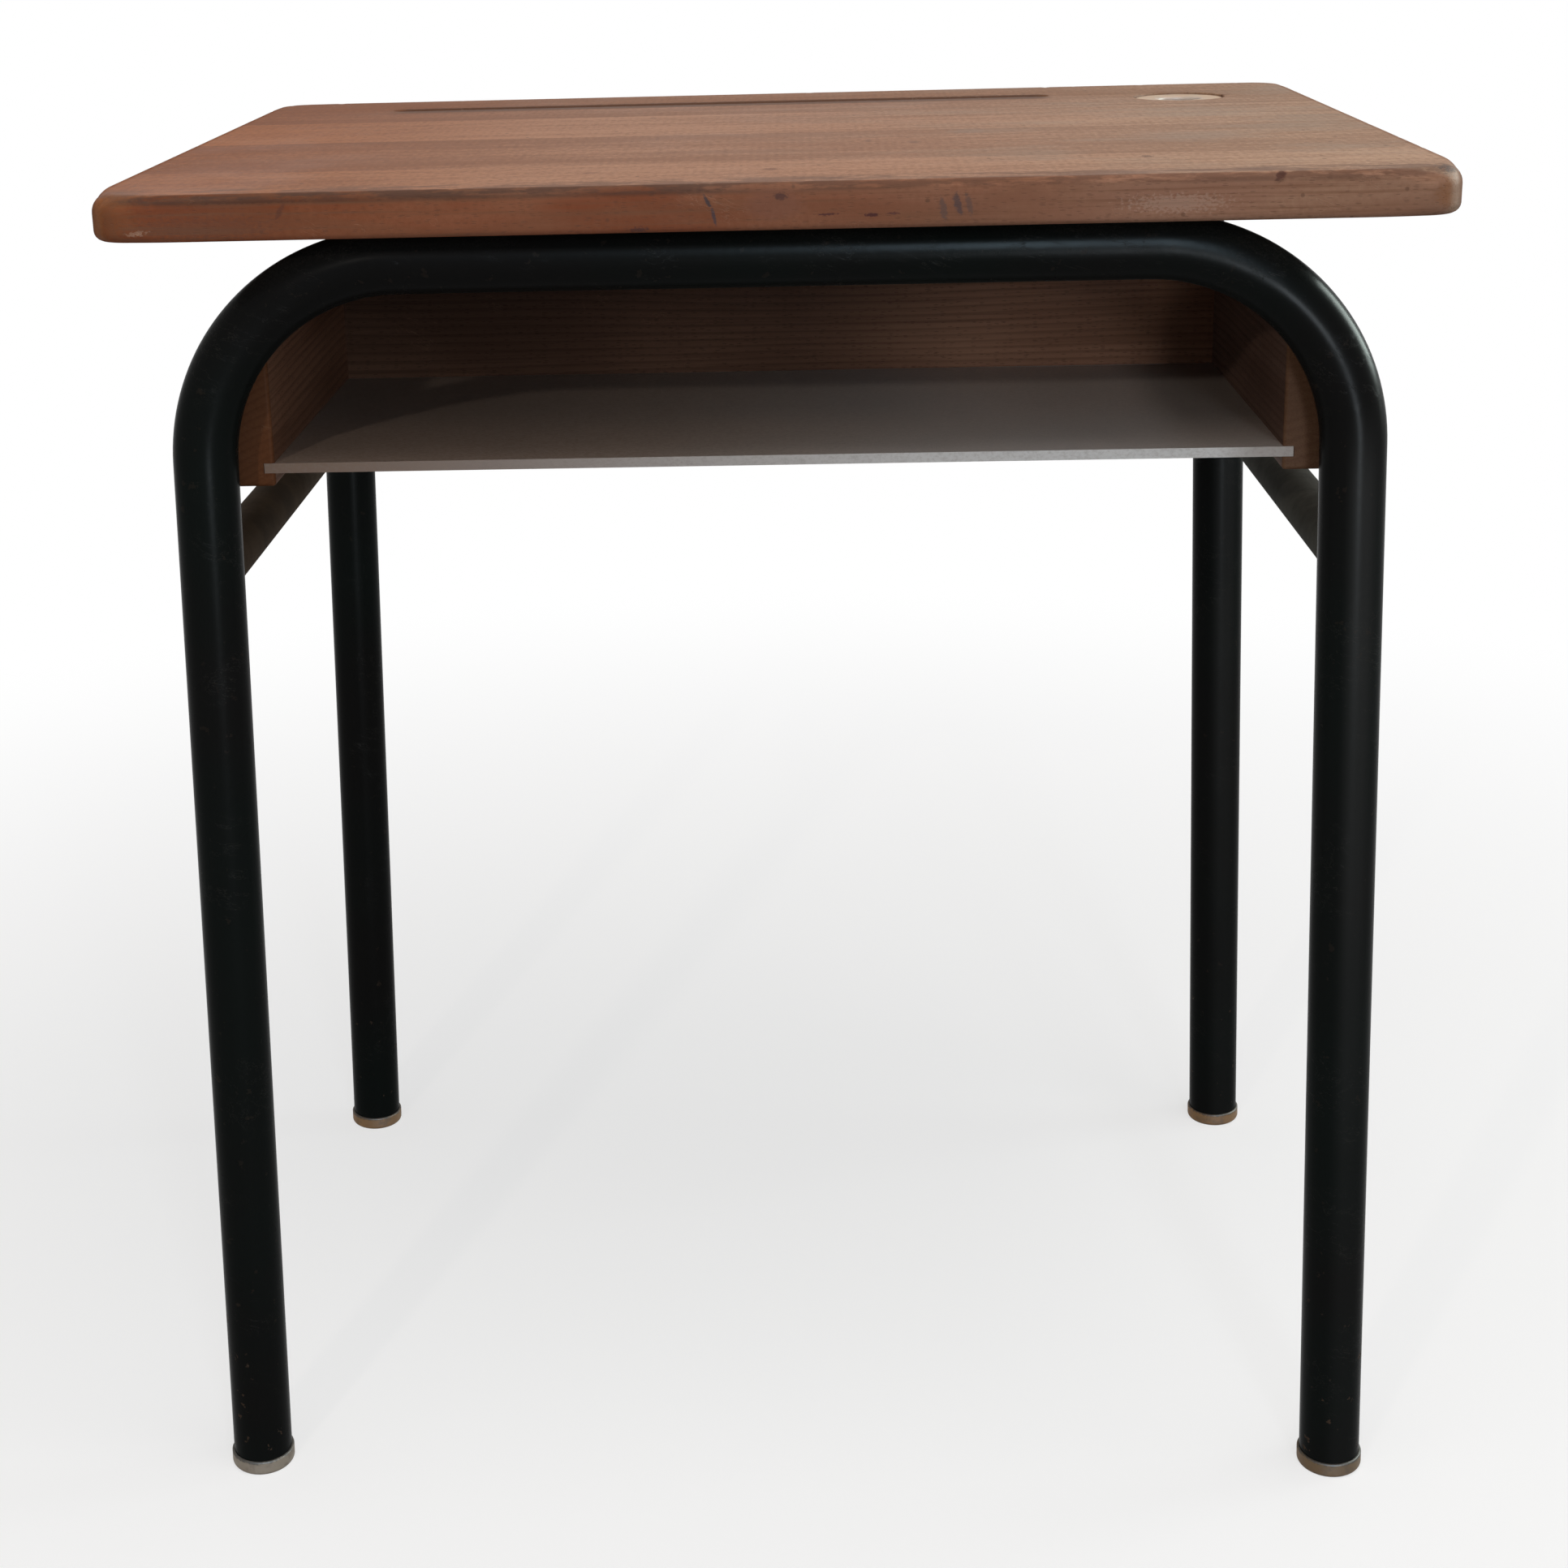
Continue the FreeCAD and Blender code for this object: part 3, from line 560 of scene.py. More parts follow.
def makeTopBeech():
    look = topBeech
    material, tree, shader, position = newMaterial("top_beech", look["gloss"])
    x, y, z = separate(position)
    colour, figure, seam = paintStaves(tree, look, position, x, y)
    worn = place(tree, wear, {"Position": position, **look["wear"]})
    face = span(y, *look["frontFace"])
    endStart, endFull = look["endFace"]
    ends = largest(span(x, endStart, endFull), span(x, -endStart, -endFull))
    sides = largest(largest(face, ends), span(y, *look["rearFace"]))
    sides = largest(sides, span(z, *look["underside"]))

    def strength(effect):
        onTop, added = look["strengths"][effect]
        return timesPlus(sides, added, onTop)

    # painted shade: the board's sides darker and redder than its top, orange at the left turning mauve at the
    # right
    sideShadeColour = blend(span(x, *look["mauveFade"]), look["edgeColour"], look["mauve"])
    cloudy = patchy(position, *look["sideClouds"])
    colour = lay(colour, sideShadeColour, sides, timesPlus(cloudy, look["sideMore"], look["sideLeast"]))
    colour = lay(colour, look["ringColour"], figure["Rings"], strength("rings"))
    streaks = span(figure["Streaks"], *look["streakEdge"])
    colour = lay(colour, look["ringColour"], streaks, strength("streaks"))
    colour = lay(colour, look["fleckColour"], figure["Flecks"], strength("flecks"))
    colour = lay(colour, look["ringColour"], ends, look["endGrain"])
    cell = addNode(tree, "ShaderNodeTexVoronoi", {
        "Vector": vectorCalc("MULTIPLY", position, look["poreCells"]), "Scale": 1})
    picked = calc("GREATER_THAN", separate(cell.outputs["Color"])[0], look["poreRarity"])
    pores = times(span(cell.outputs["Distance"], *look["poreEdge"]), picked)
    colour = lay(colour, look["fleckColour"], pores, look["poreStrength"])
    seamDark = 0
    for edge in look["staveEdges"]:
        seamDark = largest(seamDark, span(apart(seam, edge), *look["glueLine"]))
    colour = lay(colour, look["fleckColour"], seamDark, look["glueStrength"])
    rim = times(span(y, *look["rimY"]), span(z, *look["rimZ"]))
    grime = patchy(position, *look["grime"])
    colour = lay(colour, look["fleckColour"], rim, times(grime, look["grimeStrength"]))
    colour = blend(grooveDirt(look, position, x, y, z), colour, look["grooveDirt"])
    # painted shade along the rounded upper edge of the front face, strongest at the left
    upperEdge = times(times(span(z, *look["upperEdgeZ"]), face), span(x, *look["upperEdgeX"]))
    colour = blend(upperEdge, colour, look["upperEdgeShade"], "MULTIPLY")
    for centre, reach, lean, ragged, markColour, markStrength in boardMarks.values():
        mask = place(tree, mark, {"Position": position, "Centre": centre, "Reach": reach, "Lean": lean,
                                  "Raggedness": ragged})["Mask"]
        colour = lay(colour, (*markColour, 1), mask, markStrength)
    colour = lay(colour, look["scratchColour"], worn["Scratches"], strength("scratches"))
    rough = timesPlus(worn["Rubbed"], look["rubbedGloss"], look["roughness"])
    rough = timesPlus(figure["Streaks"], look["streakRough"], rough)
    rough = timesPlus(sides, look["sideRough"], rough)
    height = woodRelief(look["relief"], figure, worn)
    height = timesPlus(worn["Grit"], look["relief"]["grit"], height)
    finish(shader, look, colour, rough, height)
    return material


def woodRelief(relief, figure, worn):
    height = times(figure["Streaks"], relief["streaks"])
    height = timesPlus(figure["Flecks"], relief["flecks"], height)
    return timesPlus(worn["Scratches"], relief["scratches"], height)


panelBeech = {
    "gloss": {"IOR": 1.06, "Specular IOR Level": 0.5},
    "pale": (0.205, 0.104, 0.064, 1), "dark": (0.125, 0.059, 0.035, 1), "toneEdge": (0.6, 1.05),
    "clouds": (7, 3), "cloudShare": 0.6,
    "ringColour": (0.065, 0.028, 0.017, 1), "fleckColour": (0.05, 0.022, 0.014, 1),
    # the orange after the scratch colour is painted light on the side panels' front faces
    "scratchColour": (0.32, 0.19, 0.12, 1), "frontLight": (0.21, 0.082, 0.036, 1), "frontLightStrength": 0.45,
    "ringStrength": 0.35, "streakEdge": (0.45, 0.75), "streakStrength": 0.4, "fleckStrength": 0.5,
    "scratchStrength": 0.12,
    "ringSpacing": 0.0045, "sideHeart": 0.3, "backHeart": 0.5,
    "leftStave": 5, "rightStave": 9, "backStave": 7,
    "wear": {"Patch Scale": 12, "Scratch Scale": 45},
    "frontFace": (-0.197, -0.2),
    # painted light and shade on the side panels' front faces
    "leftFront": (0.59, 0.51, 0.4, 1), "rightFront": (0.63, 0.76, 0.84, 1),
    # painted shade: the right panel's inner face turned cooler and less red
    "rightInsideShade": (0.8, 1, 1.25, 1), "insideReach": (0.004, 0.001),
    "leftShadeFade": (-0.18, -0.04, 0.42, 0.62), "rightLightFade": (0, 0.18, 1, 2.5),       # painted light and shade across the back panel
    "cornerShadeFade": (0.236, 0.252, 1, 0.75),
    "roughness": 0.52, "rubbedGloss": -0.1, "streakRough": 0.1,
    "relief": {"streaks": -0.5, "flecks": -0.4, "scratches": -0.8},
    "bump": (0.35, 0.0004),
}


def makePanelBeech(name, alongY):
    look = panelBeech
    material, tree, shader, position = newMaterial(name, look["gloss"])
    x, y, z = separate(position)
    grain, stave = position, look["backStave"]
    if alongY:
        onRight = calc("GREATER_THAN", x, 0)
        grain = combine(y, z, x)
        stave = timesPlus(onRight, look["rightStave"] - look["leftStave"], look["leftStave"])
    figure = place(tree, woodFigure, {"Position": grain, "Stave": stave, "Ring Spacing": look["ringSpacing"],
                                      "Heart Depth": look["sideHeart"] if alongY else look["backHeart"]})
    worn = place(tree, wear, {"Position": position, **look["wear"]})
    cloudy = times(clouds(position, *look["clouds"]), look["cloudShare"])
    tone = calc("ADD", figure["Tone"], cloudy)
    colour = blend(span(tone, *look["toneEdge"]), look["pale"], look["dark"])
    colour = lay(colour, look["ringColour"], figure["Rings"], look["ringStrength"])
    streaks = span(figure["Streaks"], *look["streakEdge"])
    colour = lay(colour, look["ringColour"], streaks, look["streakStrength"])
    colour = lay(colour, look["fleckColour"], figure["Flecks"], look["fleckStrength"])
    if alongY:
        # painted light and shade on the side panels' front faces: an orange light laid on them, then toned
        # darker, redder on the left panel and cooler on the right
        front = span(y, *look["frontFace"])
        colour = lay(colour, look["frontLight"], front, look["frontLightStrength"])
        frontLightAndShade = blend(onRight, look["leftFront"], look["rightFront"])
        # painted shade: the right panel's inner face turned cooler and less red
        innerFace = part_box("right_side_panel")[0].x
        start, full = look["insideReach"]
        inside = times(span(x, innerFace + start, innerFace + full), onRight)
        inside = times(inside, minus(1, front))
        colour = blend(inside, colour, look["rightInsideShade"], "MULTIPLY")
        colour = blend(front, colour, frontLightAndShade, "MULTIPLY")
    else:
        # painted light and shade on the back panel: darker at the left, up to two and a half times lighter at
        # the right, darker again beside the right panel
        backPanelLight = times(span(x, *look["leftShadeFade"]), span(x, *look["rightLightFade"]))
        backPanelLight = times(backPanelLight, span(x, *look["cornerShadeFade"]))
        colour = vectorCalc("MULTIPLY", colour, combine(backPanelLight, backPanelLight, backPanelLight))
    colour = lay(colour, look["scratchColour"], worn["Scratches"], look["scratchStrength"])
    rough = timesPlus(worn["Rubbed"], look["rubbedGloss"], look["roughness"])
    rough = timesPlus(figure["Streaks"], look["streakRough"], rough)
    height = woodRelief(look["relief"], figure, worn)
    finish(shader, look, colour, rough, height)
    return material


shelfBoard = {
    "gloss": {"IOR": 1.2, "Specular IOR Level": 0.5},
    "sheet": (0.47, 0.39, 0.345, 1), "fibre": (0.34, 0.275, 0.235, 1), "coolTone": (0.46, 0.44, 0.43, 1),
    "dust": (0.3, 0.28, 0.26, 1), "scratchColour": (0.28, 0.24, 0.21, 1), "scratchStrength": 0.4,
    "rawEdge": (0.6, 0.595, 0.595, 1), "pinkEdge": (0.19, 0.126, 0.091, 1),
    "edgeFibre": (0.22, 0.18, 0.16, 1), "edgeFeltStrength": 0.35,
    "felt": ((420, 650, 650), 4, 0.7), "feltEdge": (0.35, 0.7), "edgeFeltEdge": (0.4, 0.75),
    "cool": (5, 2), "coolFade": (-0.1, 0.1),
    "wear": {"Patch Scale": 7, "Scratch Scale": 30, "Dust Level": 0.5},
    "leftShadeTint": (0.61, 0.55, 0.5, 1), "rightLightTint": (1.04, 1.04, 1.04, 1), "sideLightFade": (-0.2, 0.17),
    "farShadeTint": (0.92, 0.88, 0.85, 1), "farDeepShadeTint": (0.58, 0.57, 0.56, 1),       # painted shade beside the right panel
    "farFade": (0.205, 0.24), "farDeepFade": (-0.175, -0.1),
    "deepShadeTint": (0.8, 0.84, 0.88, 1), "deepY": (-0.16, -0.06), "deepX": (0.14, 0.05),
    "frontFace": -0.2003, "rightEndShadeX": (0.235, 0.262), "rightEndShadeStrength": 0.5, "pinkFade": (0.16, -0.28),
    # painted light through the gap under the back panel
    "paleLineY": (0.0318, 0.033), "paleLineLeft": (0.1, 0.16), "paleLineRight": (0.248, 0.24),
    "paleLineStrength": 0.8,
    "roughness": 0.42, "rubbedGloss": -0.1, "edgeRough": 0.4,
    "gritHeight": 0.3, "bump": (0.25, 0.0003),
}


def makeShelfBoard():
    look = shelfBoard
    material, tree, shader, position = newMaterial("shelf_board", look["gloss"])
    x, y, _ = separate(position)
    worn = place(tree, wear, {"Position": position, **look["wear"]})
    felt = clouds(position, *look["felt"])
    colour = blend(span(felt, *look["feltEdge"]), look["sheet"], look["fibre"])
    cool = times(clouds(position, *look["cool"]), span(x, *look["coolFade"]))
    colour = blend(cool, colour, look["coolTone"])
    colour = blend(worn["Dust"], colour, look["dust"])
    colour = lay(colour, look["scratchColour"], worn["Scratches"], look["scratchStrength"])
    # painted light and shade: the shelf darker towards the left and a little lighter at the right
    lightAndShadeTint = blend(span(x, *look["sideLightFade"]), look["leftShadeTint"], look["rightLightTint"])
    # painted shade beside the right panel, deeper towards the back
    farShadeTint = blend(span(y, *look["farDeepFade"]), look["farShadeTint"], look["farDeepShadeTint"])
    lightAndShadeTint = blend(span(x, *look["farFade"]), lightAndShadeTint, farShadeTint)
    colour = blend(1, colour, lightAndShadeTint, "MULTIPLY")
    # painted shade further back on the shelf, away from its right end
    deep = times(span(y, *look["deepY"]), span(x, *look["deepX"]))
    colour = blend(deep, colour, look["deepShadeTint"], "MULTIPLY")
    # the front edge pale, turning pink-brown towards the left and at its right end beside the panel: partly
    # the sheet's own colour, partly painted shade
    shadedRightEnd = times(span(x, *look["rightEndShadeX"]), look["rightEndShadeStrength"])
    edge = blend(largest(shadedRightEnd, span(x, *look["pinkFade"])), look["rawEdge"], look["pinkEdge"])
    edge = lay(edge, look["edgeFibre"], span(felt, *look["edgeFeltEdge"]), look["edgeFeltStrength"])
    # painted light: a thin pale line at the back of the shelf where light shows through the gap under the
    # back panel
    litSlit = times(span(y, *look["paleLineY"]), span(x, *look["paleLineLeft"]))
    litSlit = times(litSlit, span(x, *look["paleLineRight"]))
    colour = lay(colour, look["rawEdge"], litSlit, look["paleLineStrength"])
    front = calc("LESS_THAN", y, look["frontFace"])
    colour = blend(front, colour, edge)
    rough = timesPlus(worn["Rubbed"], look["rubbedGloss"], look["roughness"])
    rough = timesPlus(front, look["edgeRough"], rough)
    height = timesPlus(worn["Grit"], look["gritHeight"], felt)
    finish(shader, look, colour, rough, height)
    return material


framePaint = {
    "enamel": (0.0074, 0.0074, 0.0073, 1), "greenCast": (0.0064, 0.0085, 0.008, 1),
    "dust": (0.045, 0.042, 0.036, 1), "primer": (0.06, 0.04, 0.028, 1), "steel": (0.2, 0.19, 0.18, 1),
    "cast": (6, 3, 0.5, 0.35, 0.65),
    "wear": {"Patch Scale": 11, "Scratch Scale": 70, "Dust Level": 0.28}, "scratchStrength": 0.35,
    "glossy": {"IOR": 1.07}, "dull": {"IOR": 1.03},
    "footDull": 0.3,                        # how much rougher the rails are, where feet have rubbed them
    # rubbed paint and painted sheen of the rails
    "leftSheenAndRubbed": (0.08, 0.055, 0.036, 1), "rightSheenAndRubbed": (0.095, 0.093, 0.08, 1),
    "rubbed": (38, 4, 0.65, 0.36, 0.66, 0.62, 0.9),
    "paintedHighlight": (0.032, 0.033, 0.033, 1),    # painted highlight down the middle of the right legs' front
    "footX": 0.3262, "legLean": 0.0262,     # middle line of the right legs
    "stripEdge": (0.011, 0.0015), "stripGrows": (0.1, 0.62, 0.18, 0.75), "stripEnds": (0.66, 0.6),
    "chips": (130, 3, 0.6), "chipEdge": (0.66, 0.7), "bareEdge": (0.745, 0.76),
    "nearFloor": (0.16, 0.012), "chipsLow": 0.8, "chipsHigh": 0.12,
    "roughness": 0.27, "rubbedRough": 0.08, "dustRough": 0.35, "chipRough": 0.4,
    "peel": (260, 2, 0.4), "peelHeight": 0.5, "chipHeight": -1.2, "scratchHeight": -0.4,
    "bump": (0.3, 0.0003),
}


def makeFramePaint(name, dullness):
    look = framePaint
    material, tree, shader, position = newMaterial(name, look["dull"] if dullness else look["glossy"])
    x, _, z = separate(position)
    worn = place(tree, wear, {"Position": position, **look["wear"]})
    cast = patchy(position, *look["cast"])
    colour = blend(cast, look["enamel"], look["greenCast"])
    if dullness:
        # the rails painted much lighter than the enamel over most of their length: partly rubbed paint,
        # partly painted sheen, brown on the left rail and grey on the right
        sheenAndRubbedTone = blend(calc("GREATER_THAN", x, 0), look["leftSheenAndRubbed"], look["rightSheenAndRubbed"])
        rubbed = patchy(position, *look["rubbed"])
        colour = blend(rubbed, colour, sheenAndRubbedTone)
    else:
        # painted highlight down the middle of the right legs, fading towards the floor and ending below the
        # bend
        fromLine = apart(timesPlus(z, look["legLean"], x), look["footX"])
        highlightStrip = times(span(fromLine, *look["stripEdge"]), span(z, *look["stripGrows"]))
        colour = lay(colour, look["paintedHighlight"], highlightStrip, span(z, *look["stripEnds"]))
    colour = blend(worn["Dust"], colour, look["dust"])
    colour = lay(colour, look["dust"], worn["Scratches"], look["scratchStrength"])
    chipField = clouds(position, *look["chips"])
    nearFloor = span(z, *look["nearFloor"])
    chips = times(span(chipField, *look["chipEdge"]),
                  timesPlus(nearFloor, look["chipsLow"], look["chipsHigh"]))
    colour = blend(chips, colour, look["primer"])
    colour = lay(colour, look["steel"], span(chipField, *look["bareEdge"]), nearFloor)
    rough = timesPlus(worn["Rubbed"], look["rubbedRough"], look["roughness"] + dullness)
    rough = timesPlus(worn["Dust"], look["dustRough"], rough)
    rough = timesPlus(chips, look["chipRough"], rough)
    height = times(clouds(position, *look["peel"]), look["peelHeight"])
    height = timesPlus(chips, look["chipHeight"], height)
    height = timesPlus(worn["Scratches"], look["scratchHeight"], height)
    finish(shader, look, colour, rough, height)
    return material


glides = {
    "tan": {"plain": (0.24, 0.126, 0.043, 1), "rubbed": (0.326, 0.18, 0.067, 1),
            "dirt": (0.055, 0.036, 0.02, 1), "frontTint": (0.58, 0.64, 0.7, 1)},
    "pale": {"plain": (0.294, 0.245, 0.189, 1), "rubbed": (0.406, 0.357, 0.294, 1),
             "dirt": (0.11, 0.07, 0.045, 1), "frontTint": (1, 1, 1, 1)},
    "shine": {"Specular IOR Level": 0.35}, "roughness": 0.55, "rubbedRough": 0.15,
    "wear": {"Patch Scale": 60, "Scratch Scale": 160, "Dust Level": 0.2}, "scratchStrength": 0.5,
    "stains": (120, 4, 0.6, 0.48, 0.7), "rightEndShadeStrength": 0.55, "crumbs": (420, 3, 0.6),
    "rim": 0.0088, "rimBlur": 0.0016, "rimCrumbs": 0.0032,
    "rimColour": (0.016, 0.014, 0.012, 1), "rimStrength": 0.85,
    "floorEdge": (0.0026, 0.001), "floorCrumbs": 0.0018, "floorStrength": 0.6,
    "bump": (0.4, 0.0003),
}


def makeGlidePlastic(name, tones):
    look = glides
    material, tree, shader, position = newMaterial(name, look["shine"])
    _, y, z = separate(position)
    worn = place(tree, wear, {"Position": position, **look["wear"]})
    colour = blend(worn["Rubbed"], tones["plain"], tones["rubbed"])
    colour = blend(calc("LESS_THAN", y, 0), colour, tones["frontTint"], "MULTIPLY")
    stains = patchy(position, *look["stains"])
    colour = lay(colour, tones["dirt"], stains, look["rightEndShadeStrength"])
    crumbs = clouds(position, *look["crumbs"])
    rimDirt = span(timesPlus(crumbs, look["rimCrumbs"], z), look["rim"], look["rim"] + look["rimBlur"])
    colour = lay(colour, look["rimColour"], rimDirt, look["rimStrength"])
    floorDirt = span(timesPlus(crumbs, look["floorCrumbs"], z), *look["floorEdge"])
    colour = lay(colour, tones["dirt"], floorDirt, look["floorStrength"])
    colour = lay(colour, tones["rubbed"], worn["Scratches"], look["scratchStrength"])
    rough = timesPlus(worn["Rubbed"], look["rubbedRough"], look["roughness"])
    height = timesPlus(worn["Scratches"], -1, crumbs)
    finish(shader, look, colour, rough, height)
    return material


screwSteel = {
    "plain": (0.24, 0.225, 0.21, 1), "rust": (0.14, 0.07, 0.035, 1), "metal": {"Metallic": 0.6},
    "wear": {"Patch Scale": 240, "Scratch Scale": 700}, "rustSpots": (520, 4, 0.65, 0.5, 0.66),
    "roughness": 0.55, "rustRough": 0.25, "bump": (0.3, 0.0001),
}


def makeScrewSteel():
    look = screwSteel
    material, tree, shader, position = newMaterial("screw_steel", look["metal"])
    worn = place(tree, wear, {"Position": position, **look["wear"]})
    rust = patchy(position, *look["rustSpots"])
    colour = blend(rust, look["plain"], look["rust"])
    rough = timesPlus(rust, look["rustRough"], look["roughness"])
    height = calc("ADD", rust, worn["Scratches"])
    finish(shader, look, colour, rough, height)
    return material


dowelBeech = {
    "early": (0.6, 0.42, 0.26, 1), "late": (0.46, 0.3, 0.17, 1), "fleckColour": (0.25, 0.14, 0.08, 1),
    "roughness": 0.7, "stave": 3, "ringSpacing": 0.002,
    "bump": (0.3, 0.0003),
}


def makeDowelBeech():
    look = dowelBeech
    material, tree, shader, position = newMaterial("dowel_beech", {})
    x, y, z = separate(position)
    figure = place(tree, woodFigure, {"Position": combine(z, y, x), "Stave": look["stave"],
                                      "Ring Spacing": look["ringSpacing"]})
    colour = blend(figure["Rings"], look["early"], look["late"])
    colour = blend(figure["Flecks"], colour, look["fleckColour"])
    finish(shader, look, colour, look["roughness"], figure["Streaks"])
    return material


inkwellGlaze = {
    "gloss": {"IOR": 1.3, "Coat Roughness": 0.2},
    "glaze": (0.43, 0.282, 0.176, 1), "greyed": (0.41, 0.305, 0.21, 1), "craze": (0.28, 0.19, 0.125, 1),
    "mouthTone": (0.55, 0.49, 0.465, 1), "mouthStrength": 0.8, "ink": (0.03, 0.034, 0.055, 1),
    "centre": (0.268, 0.164, 0), "mouth": 0.0165, "mouthBlur": 0.004, "inkTop": 0.7638, "wellFloor": 0.745,
    "wear": {"Patch Scale": 60, "Scratch Scale": 260}, "glazeClouds": (70, 4, 0.5, 0.35, 0.7),
    "crazeScale": 260, "crazeWidth": 0.045, "crazed": (90, 2, 0.5, 0.42, 0.6), "crazeStrength": 0.5,
    "inkStains": (130, 4, 0.5, 0.3, 0.6),
    "roughness": 0.52, "rubbedRough": 0.12, "coat": 0.05, "rubbedCoat": -0.04,
    "waves": (160, 2), "crazeHeight": -0.6, "bump": (0.2, 0.0003),
}


def makeInkwellGlaze():
    look = inkwellGlaze
    material, tree, shader, position = newMaterial("inkwell_glaze", look["gloss"])
    z = separate(position)[2]
    fromCentre = vectorCalc("SUBTRACT", position, look["centre"])
    level = vectorCalc("MULTIPLY", fromCentre, (1, 1, 0))
    radial = vectorCalc("LENGTH", level)
    worn = place(tree, wear, {"Position": position, **look["wear"]})
    crackled = addNode(tree, "ShaderNodeTexVoronoi", {"Vector": position, "Scale": look["crazeScale"]},
                       feature="DISTANCE_TO_EDGE")
    craze = times(span(crackled.outputs["Distance"], look["crazeWidth"], 0),
                  patchy(position, *look["crazed"]))
    colour = blend(patchy(position, *look["glazeClouds"]), look["glaze"], look["greyed"])
    within = span(radial, look["mouth"], look["mouth"] - look["mouthBlur"])
    colour = lay(colour, look["mouthTone"], within, look["mouthStrength"])
    colour = lay(colour, look["craze"], craze, look["crazeStrength"])
    low = times(within, span(z, look["inkTop"], look["wellFloor"]))
    colour = lay(colour, look["ink"], low, patchy(position, *look["inkStains"]))
    rough = timesPlus(worn["Rubbed"], look["rubbedRough"], look["roughness"])
    feed(shader.inputs["Coat Weight"], timesPlus(worn["Rubbed"], look["rubbedCoat"], look["coat"]))
    height = timesPlus(craze, look["crazeHeight"], clouds(position, *look["waves"]))
    finish(shader, look, colour, rough, height)
    return material


finishes = {
    "top_beech": makeTopBeech(),
    "panel_beech": makePanelBeech("panel_beech", True),
    "shelf_board": makeShelfBoard(),
    "frame_paint": makeFramePaint("frame_paint", 0),
    "tan_glide": makeGlidePlastic("tan_glide", glides["tan"]),
    "pale_glide": makeGlidePlastic("pale_glide", glides["pale"]),
    "screw_steel": makeScrewSteel(),
    "dowel_beech": makeDowelBeech(),
    "inkwell_glaze": makeInkwellGlaze(),
}
nodeFinishes = {
    # nodes whose grain, or wear and painted sheen, differs from the rest of their slot
    "back_panel": makePanelBeech("panel_beech_across", False),
    "left_side_rail": makeFramePaint("rubbed_and_sheened_paint", framePaint["footDull"]),
}
nodeFinishes["right_side_rail"] = nodeFinishes["left_side_rail"]
print("Materials made:", len(finishes) + len(nodeFinishes) - 1)


def dressNodes():
    # every node of the frame takes the finish of its slot
    for part in frame["record"]["subparts"]:
        node = deskNodes[part["node"]]
        material = nodeFinishes.get(part["node"], finishes[part["material_slot"]])
        node.data.materials.clear()
        node.data.materials.append(material)


dressNodes()
print("Frame nodes dressed")


def newPiece(name, mesh, slot, body, *replaced):
    mesh.name = name
    mesh.materials.clear()
    mesh.materials.append(finishes[slot])
    piece = bpy.data.objects.new(name, mesh)
    bpy.context.scene.collection.objects.link(piece)
    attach(piece, body)
    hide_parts(*replaced)


def plainMesh(piece):
    # the evaluated shape as a mesh of its own, with the working object gone
    seen = piece.evaluated_get(bpy.context.evaluated_depsgraph_get())
    mesh = bpy.data.meshes.new_from_object(seen)
    bpy.data.objects.remove(piece)
    return mesh


sharpAngle = math.radians(50)                # edges that turn by more stay crisp


# Board

board = {
    "cornerRadius": 0.022,                   # seen from above
    "upperRadius": 0.0034, "lowerRadius": 0.0030,
    "wornRadius": 0.0010,                    # further rounding where arms rub the front edge
    "wornAlong": 1.25, "unevenScale": 14, "unevenness": 0.35,
    "cornerWear": 0.0060, "cornerWearReach": 0.030, "rearShare": 0.45,
    "step": 0.0016,                          # spacing of the points round the edge
    "flatStrip": 0.009,
    "upperRings": 9, "sideRings": 9, "lowerRings": 6,
    "dentCount": 130, "dentReach": (0.0014, 0.0042), "dentDepth": (0.00015, 0.0007),
    "dentSeed": 11, "dentRings": (3, 13),
    "dentTilt": 70, "tiltPerRing": 9, "lastTilted": 7, "sideSlope": 0.1,      # tilts in degrees
    "frontward": -0.2, "dentsElsewhere": 0.45,      # most dents are on the front edge
    "nick": (0.2555, -0.2592, 0.7742), "nickReach": 0.0036, "nickDepth": 0.0016,
    "nickDirection": (0.15, -0.75, 0.64),
    "grooveEnds": (-0.260, 0.185), "grooveY": topBeech["grooveY"], "grooveDepth": 0.006,
    "cutterRadius": 0.007, "cutterTurn": 86, "lipTurn": 76,                   # degrees
    "cutterSteps": 12, "lipSteps": 6, "endSteps": 14, "runSteps": 60,
    "lip": 0.0008,                           # rubbed rim of the groove and of the inkwell's seat
    "seatRadius": 0.0295, "seatDepth": 0.0042, "cupHoleRadius": 0.023,
    "seatSides": 72, "seatLipSteps": 5, "holeSides": 20,
    "screwHoleRadius": 0.0026, "screwHoleDepth": 0.017,
    "dowelHoleRadius": 0.0041, "dowelHoleDepth": 0.014, "dowelCount": 4,
    "screwFromLugSide": 0.016, "screwFromLugEnd": 0.010,
}


def roundedOutline(halfX, halfY, radius, step):
    # points and outward directions, anticlockwise from the front right corner
    turns = math.ceil(radius * math.pi / 2 / step)
    runs = {True: math.ceil(2 * (halfX - radius) / step), False: math.ceil(2 * (halfY - radius) / step)}
    points, outward = [], []
    for index, (sideX, sideY) in enumerate(((1, -1), (1, 1), (-1, 1), (-1, -1))):
        centre = Vector((sideX * (halfX - radius), sideY * (halfY - radius)))
        for turn in range(turns + 1):
            angle = math.radians(90 * (index - 1) + 90 * turn / turns)
            direction = Vector((math.cos(angle), math.sin(angle)))
            points.append(centre + radius * direction)
            outward.append(direction)
        along = Vector((-direction.y, direction.x))
        count = runs[index % 2 == 1]
        length = 2 * ((halfX if index % 2 == 1 else halfY) - radius)
        for run in range(1, count):
            points.append(centre + radius * direction + along * length * run / count)
            outward.append(direction)
    return np.array(points), np.array(outward)


